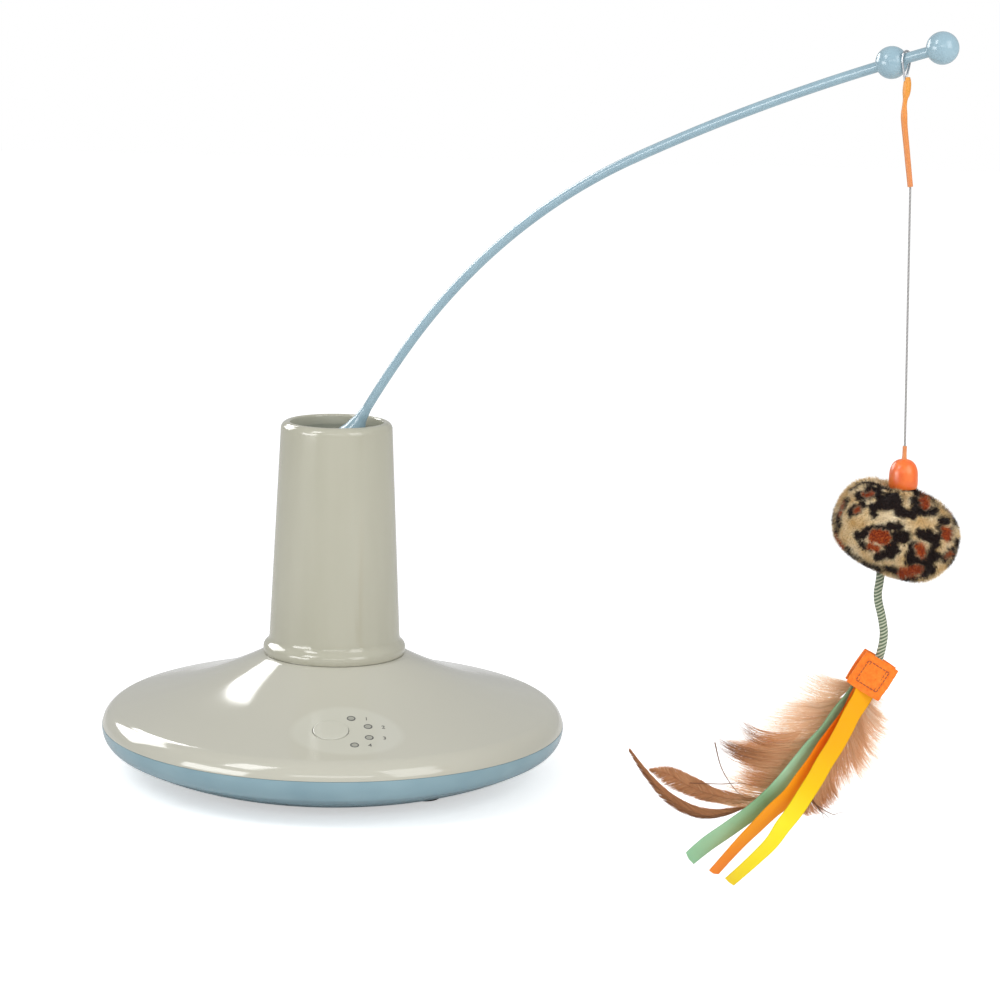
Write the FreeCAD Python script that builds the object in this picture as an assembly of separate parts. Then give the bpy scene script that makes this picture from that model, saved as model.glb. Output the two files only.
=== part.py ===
# Motorised wand toy for cats: a round base with a tower, a turning wand and a hanging lure.
# Millimetres, +Z up. The origin is the turning axis at floor level, -Y is the control side.
import FreeCAD, Part
import math
import os
from FreeCAD import Vector as V

# Base
BASE_R = 127.0
WALL = 2.5
SEAM_Z = 28.5
RIM_Z = 27.1
TOP_RIM_R = 11.5
SHOULDER_R = 95.0
SHOULDER_DEG = 15.1
SADDLE_R = 250.0
COLLAR_R = 39.1
COLLAR_HOLE_R = 33.0
BOWL_RIM_R = 12.0
BOWL_DEG = 28.0
BOWL_R = 150.0
BOTTOM_Z = 2.0
LIP_H = 2.6
LIP_T = 1.6
LIP_ROOT = 4.0
LIP_CLEAR = 0.5
FIT = 0.3

# Turned walls are drawn as a few flat gores, which keeps the model light
SHELL_SIDES = 48
TOWER_SIDES = 36
SMALL_SIDES = 24
RIM_FLATS = 4
WIDE_FLATS = 3
INNER_FLATS = 2

# Feet
FOOT_R = 8.0
FOOT_RING_R = 74.0
FOOT_H = 1.2
FOOT_COUNT = 4
FOOT_MARGIN = 1.4

# Tower
TOWER_H = 195.5
TOWER_TOP_R = 30.4
TOWER_LOW_R = 35.8
TOWER_WALL = 2.5
BEAD_H = 9.0
BEAD_R = 38.6
RIM_LIP_R = 4.0
MOUTH_R = 25.3
BEAD_UNDERCUT = 0.8
STEP_Z = 120.0
WEB_WINDOWS = 4
WEB_T = 2.4
WEB_BOSS = 2.5
WINDOW_R = 7.0
WINDOW_RING_R = 17.5
TOWER_SCREWS = 3
TOWER_SCREW_RING_R = 35.2
TOWER_HEAD_R = 2.3

# Shell screws
SHELL_SCREWS = 4
SHELL_SCREW_RING_R = 104.0
SCREW_R = 1.5
SCREW_HEAD_R = 2.9
SCREW_HEAD_H = 2.0
SCREW_CLEAR = 0.1
HEAD_SIDES = 12
SHANK_SIDES = 8
BOSS_R = 4.6
BOSS_JOIN_Z = 21.0
WELL_DEPTH = 14.0

# Batteries
CELL_R = 7.1
CELL_L = 50.0
NUB_HALF = 2.2
NUB_H = 1.5
CELL_PITCH = 15.2
CELL_COUNT = 3
BAY_TOP_Z = 22.0
BAY_WALL = 1.5
SPRING_GAP = 3.0
CONTACT_T = 0.4
BOW_HALF = 3.0
BOW_FOOT = 5.0
BOW_CROWN = 1.0
DOOR_T = 2.0
DOOR_MARGIN = 4.0
DOOR_HEAD_H = 1.2
DOOR_TAIL = 9.0
DOOR_CORNER_R = 3.0
DOOR_SCREW_GAP = 7.5
DOOR_SINK = 0.4
SEAT_RIM = 1.6
GRIP_COUNT = 4
GRIP_HALF = 9.0
GRIP_PITCH = 3.0
GRIP_DEPTH = 0.5

# Gear train: module, teeth and layer heights
DRIVE_MODULE = 0.8
MOTOR_MODULE = 0.6
OUTPUT_TEETH = 48
SECOND_LARGE = 36
SECOND_SMALL = 12
FIRST_LARGE = 44
FIRST_SMALL = 12
PINION_TEETH = 10
PLATE_Z = 28.0
PLATE_T = 2.2
LAYER_GAP = 0.8
MOTOR_LAYER_T = 3.6
MID_LAYER_T = 4.0
OUT_LAYER_T = 4.2
PLATE_HALF_W = 22.0
PILLAR_HALF = 2.8
PEG_HALF = 1.3
PEG_PROUD = 0.8
PEG_CLEAR = 0.05
POST_R = 4.0
BACKLASH = 0.035
COLLAR_OUT_R = 2.0
COLLAR_CLEAR = 0.2
TIP_SHARE = 0.42
ROOT_SHARE = 1.42
WIDE_ROOT_SHARE = 1.58
FINE_TEETH = 20

# Motor and shafts
MOTOR_R = 12.0
MOTOR_L = 20.0
MOTOR_NOSE_R = 3.0
MOTOR_NOSE_H = 1.6
MOTOR_WELL = 4.0
MOTOR_SHAFT_R = 1.0
PIN_R = 1.0
SHAFT_R = 2.5
RUN_CLEAR = 0.05
SEAT_CLEAR = 0.02
BUSH_R = 4.5
BUSH_H = 12.0
BUSH_Z = 147.0
BUSH_FLANGE = 1.5
BUSH_FLANGE_H = 1.0
SHAFT_TAIL = 3.4
CLIP_R = 4.4
CLIP_T = 0.8
CLIP_DROP = 1.2
CLIP_CLEAR = 0.01
CLIP_SLOT_HALF = 1.6

# Wand
WAND_AZIMUTH = -38.0
WAND_ROOT_Z = 174.1
WAND_LEAN = 55.23
WAND_STRAIGHT = 25.7
WAND_ARCS = ((656.8, 55.3), (380.9, 182.1), (1262.0, 178.9))
WAND_R = 2.45
FLARE_END = 38.0
ROD_STEPS = 16
HUB_R = 24.3
HUB_Z = 166.0
HUB_SKIRT = 4.5
HUB_DOME = 9.0
HUB_BOSS_R = 6.5
BALL_R = 7.5
BALL_PITCH = 27.0
BALL_CAP_DEG = 14.0
BUSH_GAP = 1.3
# Flare from hub to rod: distance along the wand, radius, and share of the rod's lean
FLARE_RINGS = ((2.5, 17.0, 0.1), (9.0, 12.6, 0.35), (16.0, 8.9, 0.6), (24.0, 5.2, 0.9),
               (31.0, 3.2, 1.0), (FLARE_END, WAND_R, 1.0))

# Loop and sleeve on the wand
LOOP_WIRE_R = 0.45
LOOP_DROP = 8.2
LOOP_FOOT_HALF = 1.25
LOOP_KNEE = 2.0
LOOP_CLEAR = 0.3
SLEEVE_L = 49.8
SLEEVE_TOP_R = 1.9
SLEEVE_R = 1.35
# Sleeve from the top: share of its length, side shift, radius
SLEEVE_RINGS = ((0.0, 0.0, SLEEVE_TOP_R), (0.16, -0.2, SLEEVE_TOP_R), (0.22, -0.4, SLEEVE_R),
                (0.5, -0.1, SLEEVE_R), (1.0, 0.0, SLEEVE_R))

# Lure: places on the hanging plane, x and z
LINE_R = 0.5
LINE_TOP_X = 275.0
FERRULE_TOP = (278.1, 221.2)
FERRULE_R = 1.05
FERRULE_L = 6.6
BEAD_TOP_Z = 215.0
LURE_BEAD_H = 13.9
LURE_BEAD_R = 6.8
LURE_BEAD_BORE_R = 1.2
PLUSH_CENTRE = (275.6, 181.6)
PLUSH_WIDE = 62.0
PLUSH_TALL = 46.0
PLUSH_SIDE_R = 19.0
PLUSH_TILT = 21.0
PLUSH_FLATS = 4
PLUSH_CROWN_R = 6.0
BEAD_ROOM = 0.4
TAIL_R = 2.0
CORD_SIDES = 16
CORD_FLATS = 3
TAIL_TIP = 1.7
TAIL_TIP_R = 1.0
TAIL_ROUTE = ((269.4, 157.4), (268.2, 149.0), (271.4, 138.5), (272.9, 128.0), (270.4, 118.6))
TAB_CENTRE = (267.4, 111.3)
TAB_W = 17.2
TAB_H = 16.6
TAB_TURN = -31.0
TAB_CORNER = 2.6
FELT_T = 1.5
TAB_GAP = 4.6
RIBBON_W = 10.0
RIBBON_T = 0.4
FEATHER_T = 0.4
STRIP_FLATS = 5

# Controls, on the sloping front of the dome
PANEL_R = 90.3
PANEL_AZIMUTH = -84.0
BUTTON_AZIMUTH = -87.5
BUTTON_R = 9.3
BUTTON_PROUD = 0.6
BUTTON_T = 3.4
BUTTON_FLANGE = 1.6
BUTTON_TRAVEL = 0.8
BUTTON_STEM_R = 2.0
BUTTON_PLATE = 1.2
BUTTON_PLAY = 0.2
SWITCH_H = 3.6
SWITCH_SEAT = 0.1
SWITCH_R = 3.2
SWITCH_CASE_H = 2.4
PLUNGER_R = 1.6
LENS_R = 2.1
LENS_SIDES = 16
LENS_SPOTS = ((13.8, -77.8), (23.0, -83.9), (24.2, -94.7), (17.1, -103.2))
BOARD_W = 50.0
BOARD_D = 36.0
BOARD_T = 1.6
BOARD_DROP = 11.0
BOARD_EDGE = 4.0
BOARD_BOSS_R = 3.0
BOARD_SCREW_R = 0.85
BOARD_HEAD_R = 2.2
BOARD_HEAD_H = 1.4
BOARD_SCREW_L = 6.0
FIT_CLOSE = 0.05

parts = {}


def rad(deg):
    return math.radians(deg)


def polar(r, deg, z=0.0):
    return V(r * math.cos(rad(deg)), r * math.sin(rad(deg)), z)


def line(a, b):
    return Part.LineSegment(a, b).toShape()


def bend(a, m, b, count):
    curve = Part.Arc(a, m, b)
    low = curve.FirstParameter
    step = (curve.LastParameter - low) / count
    return [curve.value(low + step * i) for i in range(count + 1)]


def cyl(r, h, base, axis=V(0, 0, 1)):
    return Part.makeCylinder(r, h, base, axis)


def prism(r, sides, h, base):
    ring = [base + polar(r, 360.0 / sides * i) for i in range(sides)]
    return outline(ring).extrude(V(0, 0, h))


def box(lo, hi):
    return Part.makeBox(hi[0] - lo[0], hi[1] - lo[1], hi[2] - lo[2], V(*lo))


def outline(points):
    return Part.Face(Part.makePolygon(points + points[:1]))


def fuse(shapes):
    return shapes[0].fuse(shapes[1:]).removeSplitter()


def skin(rings, closed=False, split=False):
    faces = [] if closed else [outline(rings[0]), outline(rings[-1])]
    count = len(rings[0])
    pairs = list(zip(rings, rings[1:])) + ([(rings[-1], rings[0])] if closed else [])
    for upper, lower in pairs:
        for i in range(count):
            j = (i + 1) % count
            if split:
                faces += [outline([upper[i], upper[j], lower[j]]), outline([upper[i], lower[j], lower[i]])]
            else:
                faces.append(outline([upper[i], upper[j], lower[j], lower[i]]))
    solid = Part.Solid(Part.Shell(faces))
    if solid.Volume < 0:
        solid.reverse()
    return solid


def gored(profile, sides, closed=False):
    return skin([[polar(p.x, 360.0 / sides * i, p.z) for i in range(sides)] for p in profile], closed)


def ring_at(centre, axis, across, r, sides):
    up = axis.cross(across)
    turns = [rad(360.0 / sides * i) for i in range(sides)]
    return [centre + across * (r * math.cos(t)) + up * (r * math.sin(t)) for t in turns]


def keep(name, shape):
    shape = shape.removeSplitter() if shape.ShapeType != "Solid" else shape
    parts[name] = shape
    return shape


# Base shells
def on_circle(cx, cz, r, deg):
    return V(cx + r * math.sin(rad(deg)), 0, cz + r * math.cos(rad(deg)))


def dome_points(inset, rim_flats, wide_flats):
    rim_c = BASE_R - TOP_RIM_R
    rim_r = TOP_RIM_R - inset
    start = math.degrees(math.acos((SEAM_Z - RIM_Z) / rim_r))
    a = on_circle(rim_c, RIM_Z, rim_r, start)
    m = on_circle(rim_c, RIM_Z, rim_r, (start + SHOULDER_DEG) / 2)
    b = on_circle(rim_c, RIM_Z, rim_r, SHOULDER_DEG)
    outer_b = on_circle(rim_c, RIM_Z, TOP_RIM_R, SHOULDER_DEG)
    up = V(math.sin(rad(SHOULDER_DEG)), 0, math.cos(rad(SHOULDER_DEG)))
    rise = (outer_b.x - SHOULDER_R) * math.tan(rad(SHOULDER_DEG))
    shoulder = V(SHOULDER_R, 0, outer_b.z + rise)
    centre = shoulder + up * SADDLE_R
    c = shoulder - up * inset
    big = SADDLE_R + inset

    def saddle(x):
        return V(x, 0, centre.z - math.sqrt(big ** 2 - (centre.x - x) ** 2))

    d = saddle(COLLAR_R - inset)
    middle = saddle((c.x + d.x) / 2)
    return bend(a, m, b, rim_flats) + bend(c, middle, d, wide_flats)


def bowl_points(inset, rim_flats, wide_flats):
    rim_c = BASE_R - BOWL_RIM_R
    rim_r = BOWL_RIM_R - inset
    a = V(rim_c + rim_r, 0, RIM_Z)
    m = on_circle(rim_c, RIM_Z, rim_r, 180 - (90 + BOWL_DEG) / 2)
    b = on_circle(rim_c, RIM_Z, rim_r, 180 - BOWL_DEG)
    outer_b = on_circle(rim_c, RIM_Z, BOWL_RIM_R, 180 - BOWL_DEG)
    centre = outer_b + V(-math.sin(rad(BOWL_DEG)), 0, math.cos(rad(BOWL_DEG))) * BOWL_R
    big = BOWL_R - inset
    floor = BOTTOM_Z + inset
    end_x = centre.x + math.sqrt(big ** 2 - (centre.z - floor) ** 2)
    mid_x = (end_x + b.x) / 2
    mid = V(mid_x, 0, centre.z - math.sqrt(big ** 2 - (mid_x - centre.x) ** 2))
    c = V(end_x, 0, floor)
    band = V(BASE_R - inset, 0, SEAM_Z)
    return [band] + bend(a, m, b, rim_flats) + bend(b, mid, c, wide_flats)[1:]


DOME_LINE = dome_points(0, RIM_FLATS, WIDE_FLATS)
COLLAR_Z = DOME_LINE[-1].z


def dome_height(r):
    for outer, inner in zip(DOME_LINE, DOME_LINE[1:]):
        if inner.x <= r <= outer.x:
            return outer.z + (inner.z - outer.z) * (outer.x - r) / (outer.x - inner.x)


GEAR_Z1 = PLATE_Z + PLATE_T + LAYER_GAP
GEAR_Z2 = GEAR_Z1 + MOTOR_LAYER_T + LAYER_GAP
GEAR_Z3 = GEAR_Z2 + MID_LAYER_T + LAYER_GAP
TOP_PLATE_Z = GEAR_Z3 + OUT_LAYER_T + LAYER_GAP
MOTOR_WELL_Z = PLATE_Z - MOTOR_L + MOTOR_WELL
SECOND_X = -DRIVE_MODULE * (OUTPUT_TEETH + SECOND_SMALL) / 2
FIRST_X = SECOND_X - DRIVE_MODULE * (SECOND_LARGE + FIRST_SMALL) / 2
MOTOR_X = FIRST_X - MOTOR_MODULE * (FIRST_LARGE + PINION_TEETH) / 2
BAY_X = CELL_PITCH * CELL_COUNT / 2 + BAY_WALL
BAY_Y = CELL_L / 2 + SPRING_GAP + BAY_WALL
DOOR_X = BAY_X + DOOR_MARGIN
DOOR_Y = BAY_Y + DOOR_MARGIN
DOOR_SCREW = V(0, -(BAY_Y + DOOR_SCREW_GAP), 0)
DOOR_LOW_Z = BOTTOM_Z - DOOR_SINK
CELL_Z = DOOR_LOW_Z + DOOR_T + CELL_R + FIT
FRAME_POSTS = ((14.0, 18.0), (14.0, -18.0), (-44.0, 18.0), (-44.0, -18.0))
PILLARS = ((24.0, 17.5), (24.0, -17.5), (MOTOR_X - 7.0, 14.0), (MOTOR_X - 7.0, -14.0))
HULL_TOP = gored(DOME_LINE[::-1], SHELL_SIDES)
HULL_LOW = gored(bowl_points(0, RIM_FLATS, WIDE_FLATS), SHELL_SIDES)


def ring_spots(count, r, start, z=0.0):
    return [polar(r, start + 360.0 / count * i, z) for i in range(count)]


SHELL_SPOTS = ring_spots(SHELL_SCREWS, SHELL_SCREW_RING_R, 45)
FOOT_SPOTS = ring_spots(FOOT_COUNT, FOOT_RING_R, 45)
TOWER_SPOTS = ring_spots(TOWER_SCREWS, TOWER_SCREW_RING_R, 90)


# Control panel frame: w points out of the dome
def panel_frame(azimuth):
    step = 0.5
    slope = (dome_height(PANEL_R + step) - dome_height(PANEL_R - step)) / (2 * step)
    out = polar(1, azimuth)
    w = V(out.x * -slope, out.y * -slope, 1).normalize()
    origin = polar(PANEL_R, azimuth, dome_height(PANEL_R))
    u = V(-out.y, out.x, 0).normalize()
    return origin, u, w


BUTTON_O, BUTTON_U, BUTTON_W = panel_frame(BUTTON_AZIMUTH)
PANEL_O, PANEL_U, PANEL_W = panel_frame(PANEL_AZIMUTH)
PANEL_V = PANEL_W.cross(PANEL_U)


def panel_place(shape):
    m = FreeCAD.Matrix(
        PANEL_U.x, PANEL_V.x, PANEL_W.x, PANEL_O.x,
        PANEL_U.y, PANEL_V.y, PANEL_W.y, PANEL_O.y,
        PANEL_U.z, PANEL_V.z, PANEL_W.z, PANEL_O.z,
        0, 0, 0, 1)
    out = shape.copy()
    out.Placement = FreeCAD.Placement(m)
    return out


def lens_bar(spot, r, low, high):
    x, y = spot
    base = V(x, y, dome_height(math.hypot(x, y)))
    return skin([ring_at(base + PANEL_W * up, PANEL_W, PANEL_U, r, LENS_SIDES) for up in (low, high)])


def board_bosses():
    u = BOARD_W / 2 - BOARD_EDGE
    v = BOARD_D / 2 - BOARD_EDGE
    return ((-u, v), (u, -v))


def shank_hole(x, y, z, h):
    return prism(SCREW_R + SCREW_CLEAR, SHANK_SIDES, h, V(x, y, z))


def dome_shell():
    inner = dome_points(WALL, INNER_FLATS, INNER_FLATS)
    hole = [V(COLLAR_HOLE_R, 0, COLLAR_Z), V(COLLAR_HOLE_R, 0, inner[-1].z)]
    shell = gored(DOME_LINE + hole + inner[::-1], SHELL_SIDES, True)
    room = HULL_TOP.fuse(prism(BASE_R - 8, SHELL_SIDES, SEAM_Z + 1, V(0, 0, 0)))
    bosses = []
    for p in SHELL_SPOTS:
        bosses.append(prism(BOSS_R, HEAD_SIDES, 60, V(p.x, p.y, BOSS_JOIN_Z)).common(room))
    for u, v in board_bosses():
        post = panel_place(prism(BOARD_BOSS_R, HEAD_SIDES, BOARD_DROP + 6, V(u, v, -BOARD_DROP)))
        bosses.append(post.common(HULL_TOP))
    shell = fuse([shell] + bosses)
    cuts = [shank_hole(p.x, p.y, BOSS_JOIN_Z - 1, 10) for p in SHELL_SPOTS]
    for u, v in board_bosses():
        cuts.append(panel_place(prism(BOARD_SCREW_R + FIT_CLOSE, SHANK_SIDES, 6, V(u, v, -BOARD_DROP - 1))))
    cuts.append(cyl(BUTTON_R + FIT, 30, BUTTON_O - BUTTON_W * 15, BUTTON_W))
    for spot in LENS_SPOTS:
        cuts.append(lens_bar(spot, LENS_R + 0.1, -10, 6))
    for p in TOWER_SPOTS:
        cuts.append(shank_hole(p.x, p.y, COLLAR_Z - 8, 12))
        cuts.append(prism(TOWER_HEAD_R + FIT, HEAD_SIDES, 8, V(p.x, p.y, COLLAR_Z - WALL - 8)))
    return shell.cut(cuts)


def lower_shell():
    shell = HULL_LOW.cut(gored(bowl_points(WALL, INNER_FLATS, INNER_FLATS), SHELL_SIDES))
    inner_r = TOP_RIM_R - WALL
    lip_top = SEAM_Z + LIP_H
    lip_low = SEAM_Z - LIP_ROOT
    lip_out = BASE_R - TOP_RIM_R + math.sqrt(inner_r ** 2 - (lip_top - RIM_Z) ** 2) - LIP_CLEAR
    lip_in = lip_out - LIP_T
    web_out = BASE_R - WALL / 2
    corners = ((lip_in, lip_low), (web_out, lip_low), (web_out, SEAM_Z),
               (lip_out, SEAM_Z), (lip_out, lip_top), (lip_in, lip_top))
    adds = [gored([V(x, 0, z) for x, z in corners], SHELL_SIDES, True)]
    for p in SHELL_SPOTS:
        adds.append(prism(BOSS_R, HEAD_SIDES, BOSS_JOIN_Z, V(p.x, p.y, 0)).common(HULL_LOW))
    pads = HULL_LOW.fuse(prism(FOOT_RING_R + FOOT_R + 2, SHELL_SIDES, BOTTOM_Z, V(0, 0, 0)))
    for p in FOOT_SPOTS:
        adds.append(prism(FOOT_R + FOOT_MARGIN, HEAD_SIDES, BOTTOM_Z + 3, V(p.x, p.y, FOOT_H)).common(pads))
    adds.append(box((-BAY_X, -BAY_Y, BOTTOM_Z), (BAY_X, BAY_Y, BAY_TOP_Z)))
    for x, y in FRAME_POSTS:
        adds.append(prism(POST_R, HEAD_SIDES, PLATE_Z - BOTTOM_Z - 1, V(x, y, BOTTOM_Z + 1)))
    adds.append(prism(POST_R + 1, HEAD_SIDES, 12, V(DOOR_SCREW.x, DOOR_SCREW.y, BOTTOM_Z)))
    rim_x = DOOR_X + SEAT_RIM
    rim_y = DOOR_Y + SEAT_RIM
    adds.append(box((-rim_x, -rim_y - DOOR_TAIL, BOTTOM_Z), (rim_x, rim_y, DOOR_LOW_Z + DOOR_T + 2)))
    shell = fuse([shell] + adds)
    room_x = BAY_X - BAY_WALL
    room_y = BAY_Y - BAY_WALL
    inner = box((-room_x, -room_y, 0), (room_x, room_y, BAY_TOP_Z - BAY_WALL))
    door_seat = box((-DOOR_X, -DOOR_Y - DOOR_TAIL, 0), (DOOR_X, DOOR_Y, DOOR_LOW_Z + DOOR_T + SEAT_CLEAR))
    cuts = [inner, door_seat]
    for p in SHELL_SPOTS:
        cuts.append(shank_hole(p.x, p.y, 0, 30))
        cuts.append(prism(SCREW_HEAD_R + FIT, HEAD_SIDES, WELL_DEPTH, V(p.x, p.y, 0)))
    for x, y in FRAME_POSTS:
        cuts.append(shank_hole(x, y, PLATE_Z - 5, 8))
    cuts.append(shank_hole(DOOR_SCREW.x, DOOR_SCREW.y, 0, 10))
    return shell.cut(cuts)


def screw(p, head_z, length, up=True, head_r=SCREW_HEAD_R, head_h=SCREW_HEAD_H, shank_r=SCREW_R):
    sign = 1 if up else -1
    base = V(p.x, p.y, head_z)
    head = prism(head_r, HEAD_SIDES, sign * head_h, base)
    return head.fuse(prism(shank_r, SHANK_SIDES, sign * length, base)).removeSplitter()


# Tower
def tower_wall(z):
    share = (z - COLLAR_Z - BEAD_H) / (TOWER_H - 5.5 - COLLAR_Z - BEAD_H)
    return TOWER_LOW_R + (TOWER_TOP_R - TOWER_LOW_R) * share


def tower_shell():
    z0 = COLLAR_Z
    top = TOWER_H
    lip_z = top - RIM_LIP_R
    ridge = TOWER_TOP_R - RIM_LIP_R
    mid = RIM_LIP_R * math.sqrt(0.5)
    inner = ridge - MOUTH_R
    wall_r = TOWER_TOP_R - TOWER_WALL
    foot_r = BEAD_R - BEAD_UNDERCUT
    bead_top = V(BEAD_R - BEAD_UNDERCUT / 2, 0, z0 + 5.6)
    neck = V(tower_wall(z0 + BEAD_H), 0, z0 + BEAD_H)
    throat = V((bead_top.x + neck.x) / 2 - 0.5, 0, (bead_top.z + neck.z) / 2 - 0.35)
    lip_low = V(TOWER_TOP_R, 0, lip_z)
    lip_top = V(ridge, 0, top)
    mouth = V(MOUTH_R, 0, top - inner)
    mouth_low = V(MOUTH_R, 0, top - 5)
    wall_high = V(wall_r, 0, top - 9.5)
    step_low = V(wall_r, 0, STEP_Z)
    step_out = V(TOWER_LOW_R - TOWER_WALL, 0, STEP_Z - 4)
    inner_foot = V(step_out.x, 0, z0)
    foot = V(foot_r, 0, z0)
    bead_low = V(BEAD_R, 0, z0 + 0.4)
    profile = [inner_foot, foot] + bend(bead_low, V(BEAD_R + 0.5, 0, z0 + 3.0), bead_top, WIDE_FLATS)
    profile += bend(bead_top, throat, neck, INNER_FLATS)[1:]
    profile += bend(lip_low, V(ridge + mid, 0, lip_z + mid), lip_top, RIM_FLATS)
    profile += bend(lip_top, V(ridge - inner * 0.75, 0, top - inner * 0.3), mouth, INNER_FLATS)[1:]
    profile += [mouth_low, wall_high, step_low, step_out]
    shell = gored(profile, TOWER_SIDES, True)
    boss = prism(BUSH_R + WEB_BOSS, SMALL_SIDES, BUSH_H, V(0, 0, BUSH_Z))
    web = prism(wall_r + 1, TOWER_SIDES, WEB_T, V(0, 0, BUSH_Z + 3))
    windows = [prism(WINDOW_R, HEAD_SIDES, 10, p) for p in ring_spots(WEB_WINDOWS, WINDOW_RING_R, 30, BUSH_Z)]
    web = web.cut(windows)
    shell = fuse([shell, web, boss])
    cuts = [prism(BUSH_R + SEAT_CLEAR, SMALL_SIDES, 40, V(0, 0, BUSH_Z - 10))]
    cuts += [shank_hole(q.x, q.y, z0 - 1, 9) for q in TOWER_SPOTS]
    return shell.cut(cuts)


# Gears
def tooth_line(teeth, root, pitch, tip):
    if teeth > FINE_TEETH:
        return ((root, -WIDE_ROOT_SHARE), (tip, -TIP_SHARE), (tip, TIP_SHARE), (root, WIDE_ROOT_SHARE))
    return ((root, -ROOT_SHARE), (pitch, -1), (tip, -TIP_SHARE),
            (tip, TIP_SHARE), (pitch, 1), (root, ROOT_SHARE))


def gear(teeth, module, thickness, z, x, bore, phase):
    pitch = module * teeth / 2
    tip = pitch + module * 0.95
    root = pitch - module * 1.2
    half = 90.0 / teeth - math.degrees(BACKLASH / pitch)
    points = []
    for i in range(teeth):
        mid = 360.0 / teeth * i + phase
        for r, side in tooth_line(teeth, root, pitch, tip):
            points.append(polar(r, mid + half * side, z) + V(x, 0, 0))
    body = outline(points).extrude(V(0, 0, thickness))
    return body.cut(cyl(bore, thickness + 2, V(x, 0, z - 1)))


def compound(large, large_module, large_z, large_t, small, small_module, small_z, small_t, x, small_phase):
    bore = PIN_R + RUN_CLEAR
    big = gear(large, large_module, large_t, large_z, x, bore, 0)
    little = gear(small, small_module, small_t, small_z, x, bore, small_phase)
    root = small_module * (small / 2 - 1.2)
    low = min(large_z, small_z)
    high = max(large_z + large_t, small_z + small_t)
    collar_low = low - LAYER_GAP + COLLAR_CLEAR
    hub = prism(root, HEAD_SIDES, high - low, V(x, 0, low))
    collar = prism(COLLAR_OUT_R, HEAD_SIDES, low - collar_low, V(x, 0, collar_low))
    return fuse([big, little, hub, collar]).cut(cyl(bore, high - collar_low + 2, V(x, 0, collar_low - 1)))


def frame_outline(z, t):
    x0 = MOTOR_X - 14
    x1 = 30.0
    slab = box((x0, -PLATE_HALF_W, z), (x1, PLATE_HALF_W, z + t))
    corners = [e for e in slab.Edges if abs(e.Vertexes[0].Z - e.Vertexes[1].Z) > t / 2]
    return slab.makeChamfer(4.0, corners)


def square_post(x, y, half, low, high):
    return box((x - half, y - half, low), (x + half, y + half, high))


def gear_frame_lower():
    plate = frame_outline(PLATE_Z, PLATE_T)
    posts = [square_post(x, y, PILLAR_HALF, PLATE_Z, TOP_PLATE_Z) for x, y in PILLARS]
    pegs = [square_post(x, y, PEG_HALF, TOP_PLATE_Z, TOP_PLATE_Z + PLATE_T + PEG_PROUD) for x, y in PILLARS]
    body = fuse([plate] + posts + pegs)
    nose = prism(MOTOR_NOSE_R + FIT, HEAD_SIDES, 8, V(MOTOR_X, 0, PLATE_Z - 1))
    cuts = [cyl(SHAFT_R + RUN_CLEAR, 8, V(0, 0, PLATE_Z - 1)), nose]
    for x in (SECOND_X, FIRST_X):
        cuts.append(cyl(PIN_R + SEAT_CLEAR, 8, V(x, 0, PLATE_Z - 1)))
    cuts += [shank_hole(x, y, PLATE_Z - 1, 8) for x, y in FRAME_POSTS]
    return body.cut(cuts)


def gear_frame_upper():
    plate = frame_outline(TOP_PLATE_Z, PLATE_T)
    cuts = [cyl(SHAFT_R + RUN_CLEAR, 8, V(0, 0, TOP_PLATE_Z - 1))]
    for x in (SECOND_X, FIRST_X):
        cuts.append(cyl(PIN_R + SEAT_CLEAR, 8, V(x, 0, TOP_PLATE_Z - 1)))
    for x, y in PILLARS:
        cuts.append(square_post(x, y, PEG_HALF + PEG_CLEAR, TOP_PLATE_Z - 1, TOP_PLATE_Z + PLATE_T + 1))
    return plate.cut(cuts)


# Wand path in the turning plane
E_WAND = polar(1, WAND_AZIMUTH)
E_SIDE = V(-E_WAND.y, E_WAND.x, 0)


def wand_at(length):
    heading = rad(WAND_LEAN)
    s = min(length, WAND_STRAIGHT)
    p = V(0, 0, WAND_ROOT_Z) + (E_WAND * math.cos(heading) + V(0, 0, math.sin(heading))) * s
    left = length - s
    for r, run in WAND_ARCS:
        part = min(left, run)
        turn = part / r
        new = heading - turn
        out = r * (math.sin(heading) - math.sin(new))
        p = p + E_WAND * out + V(0, 0, r * (math.cos(new) - math.cos(heading)))
        heading = new
        left = left - part
    along = E_WAND * math.cos(heading) + V(0, 0, math.sin(heading))
    return p, along


def ball(centre):
    top = rad(BALL_CAP_DEG)
    high = V(BALL_R * math.sin(top), 0, BALL_R * math.cos(top))
    half = bend(high, V(BALL_R, 0, 0), V(high.x, 0, -high.z), 2 * RIM_FLATS)
    shape = gored(half, SMALL_SIDES)
    shape.translate(centre)
    return shape


def wand_rod():
    step = (WAND_END - FLARE_END) / ROD_STEPS
    stations = [wand_at(FLARE_END + step * i) for i in range(ROD_STEPS + 1)]
    rod = skin([ring_at(p, along, E_SIDE, WAND_R, HEAD_SIDES) for p, along in stations], False, True)
    return fuse([rod] + [ball(wand_at(at)[0]) for at in (INNER_BALL, WAND_END)])


def wand_flare():
    rings = []
    lean = V(0, 0, 1).getAngle(wand_at(FLARE_END)[1])
    for length, r, share in FLARE_RINGS:
        p, _ = wand_at(length)
        axis = E_WAND * math.sin(lean * share) + V(0, 0, math.cos(lean * share))
        rings.append(ring_at(p, axis, E_SIDE, r, SMALL_SIDES))
    return skin(rings, False, True)


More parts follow.
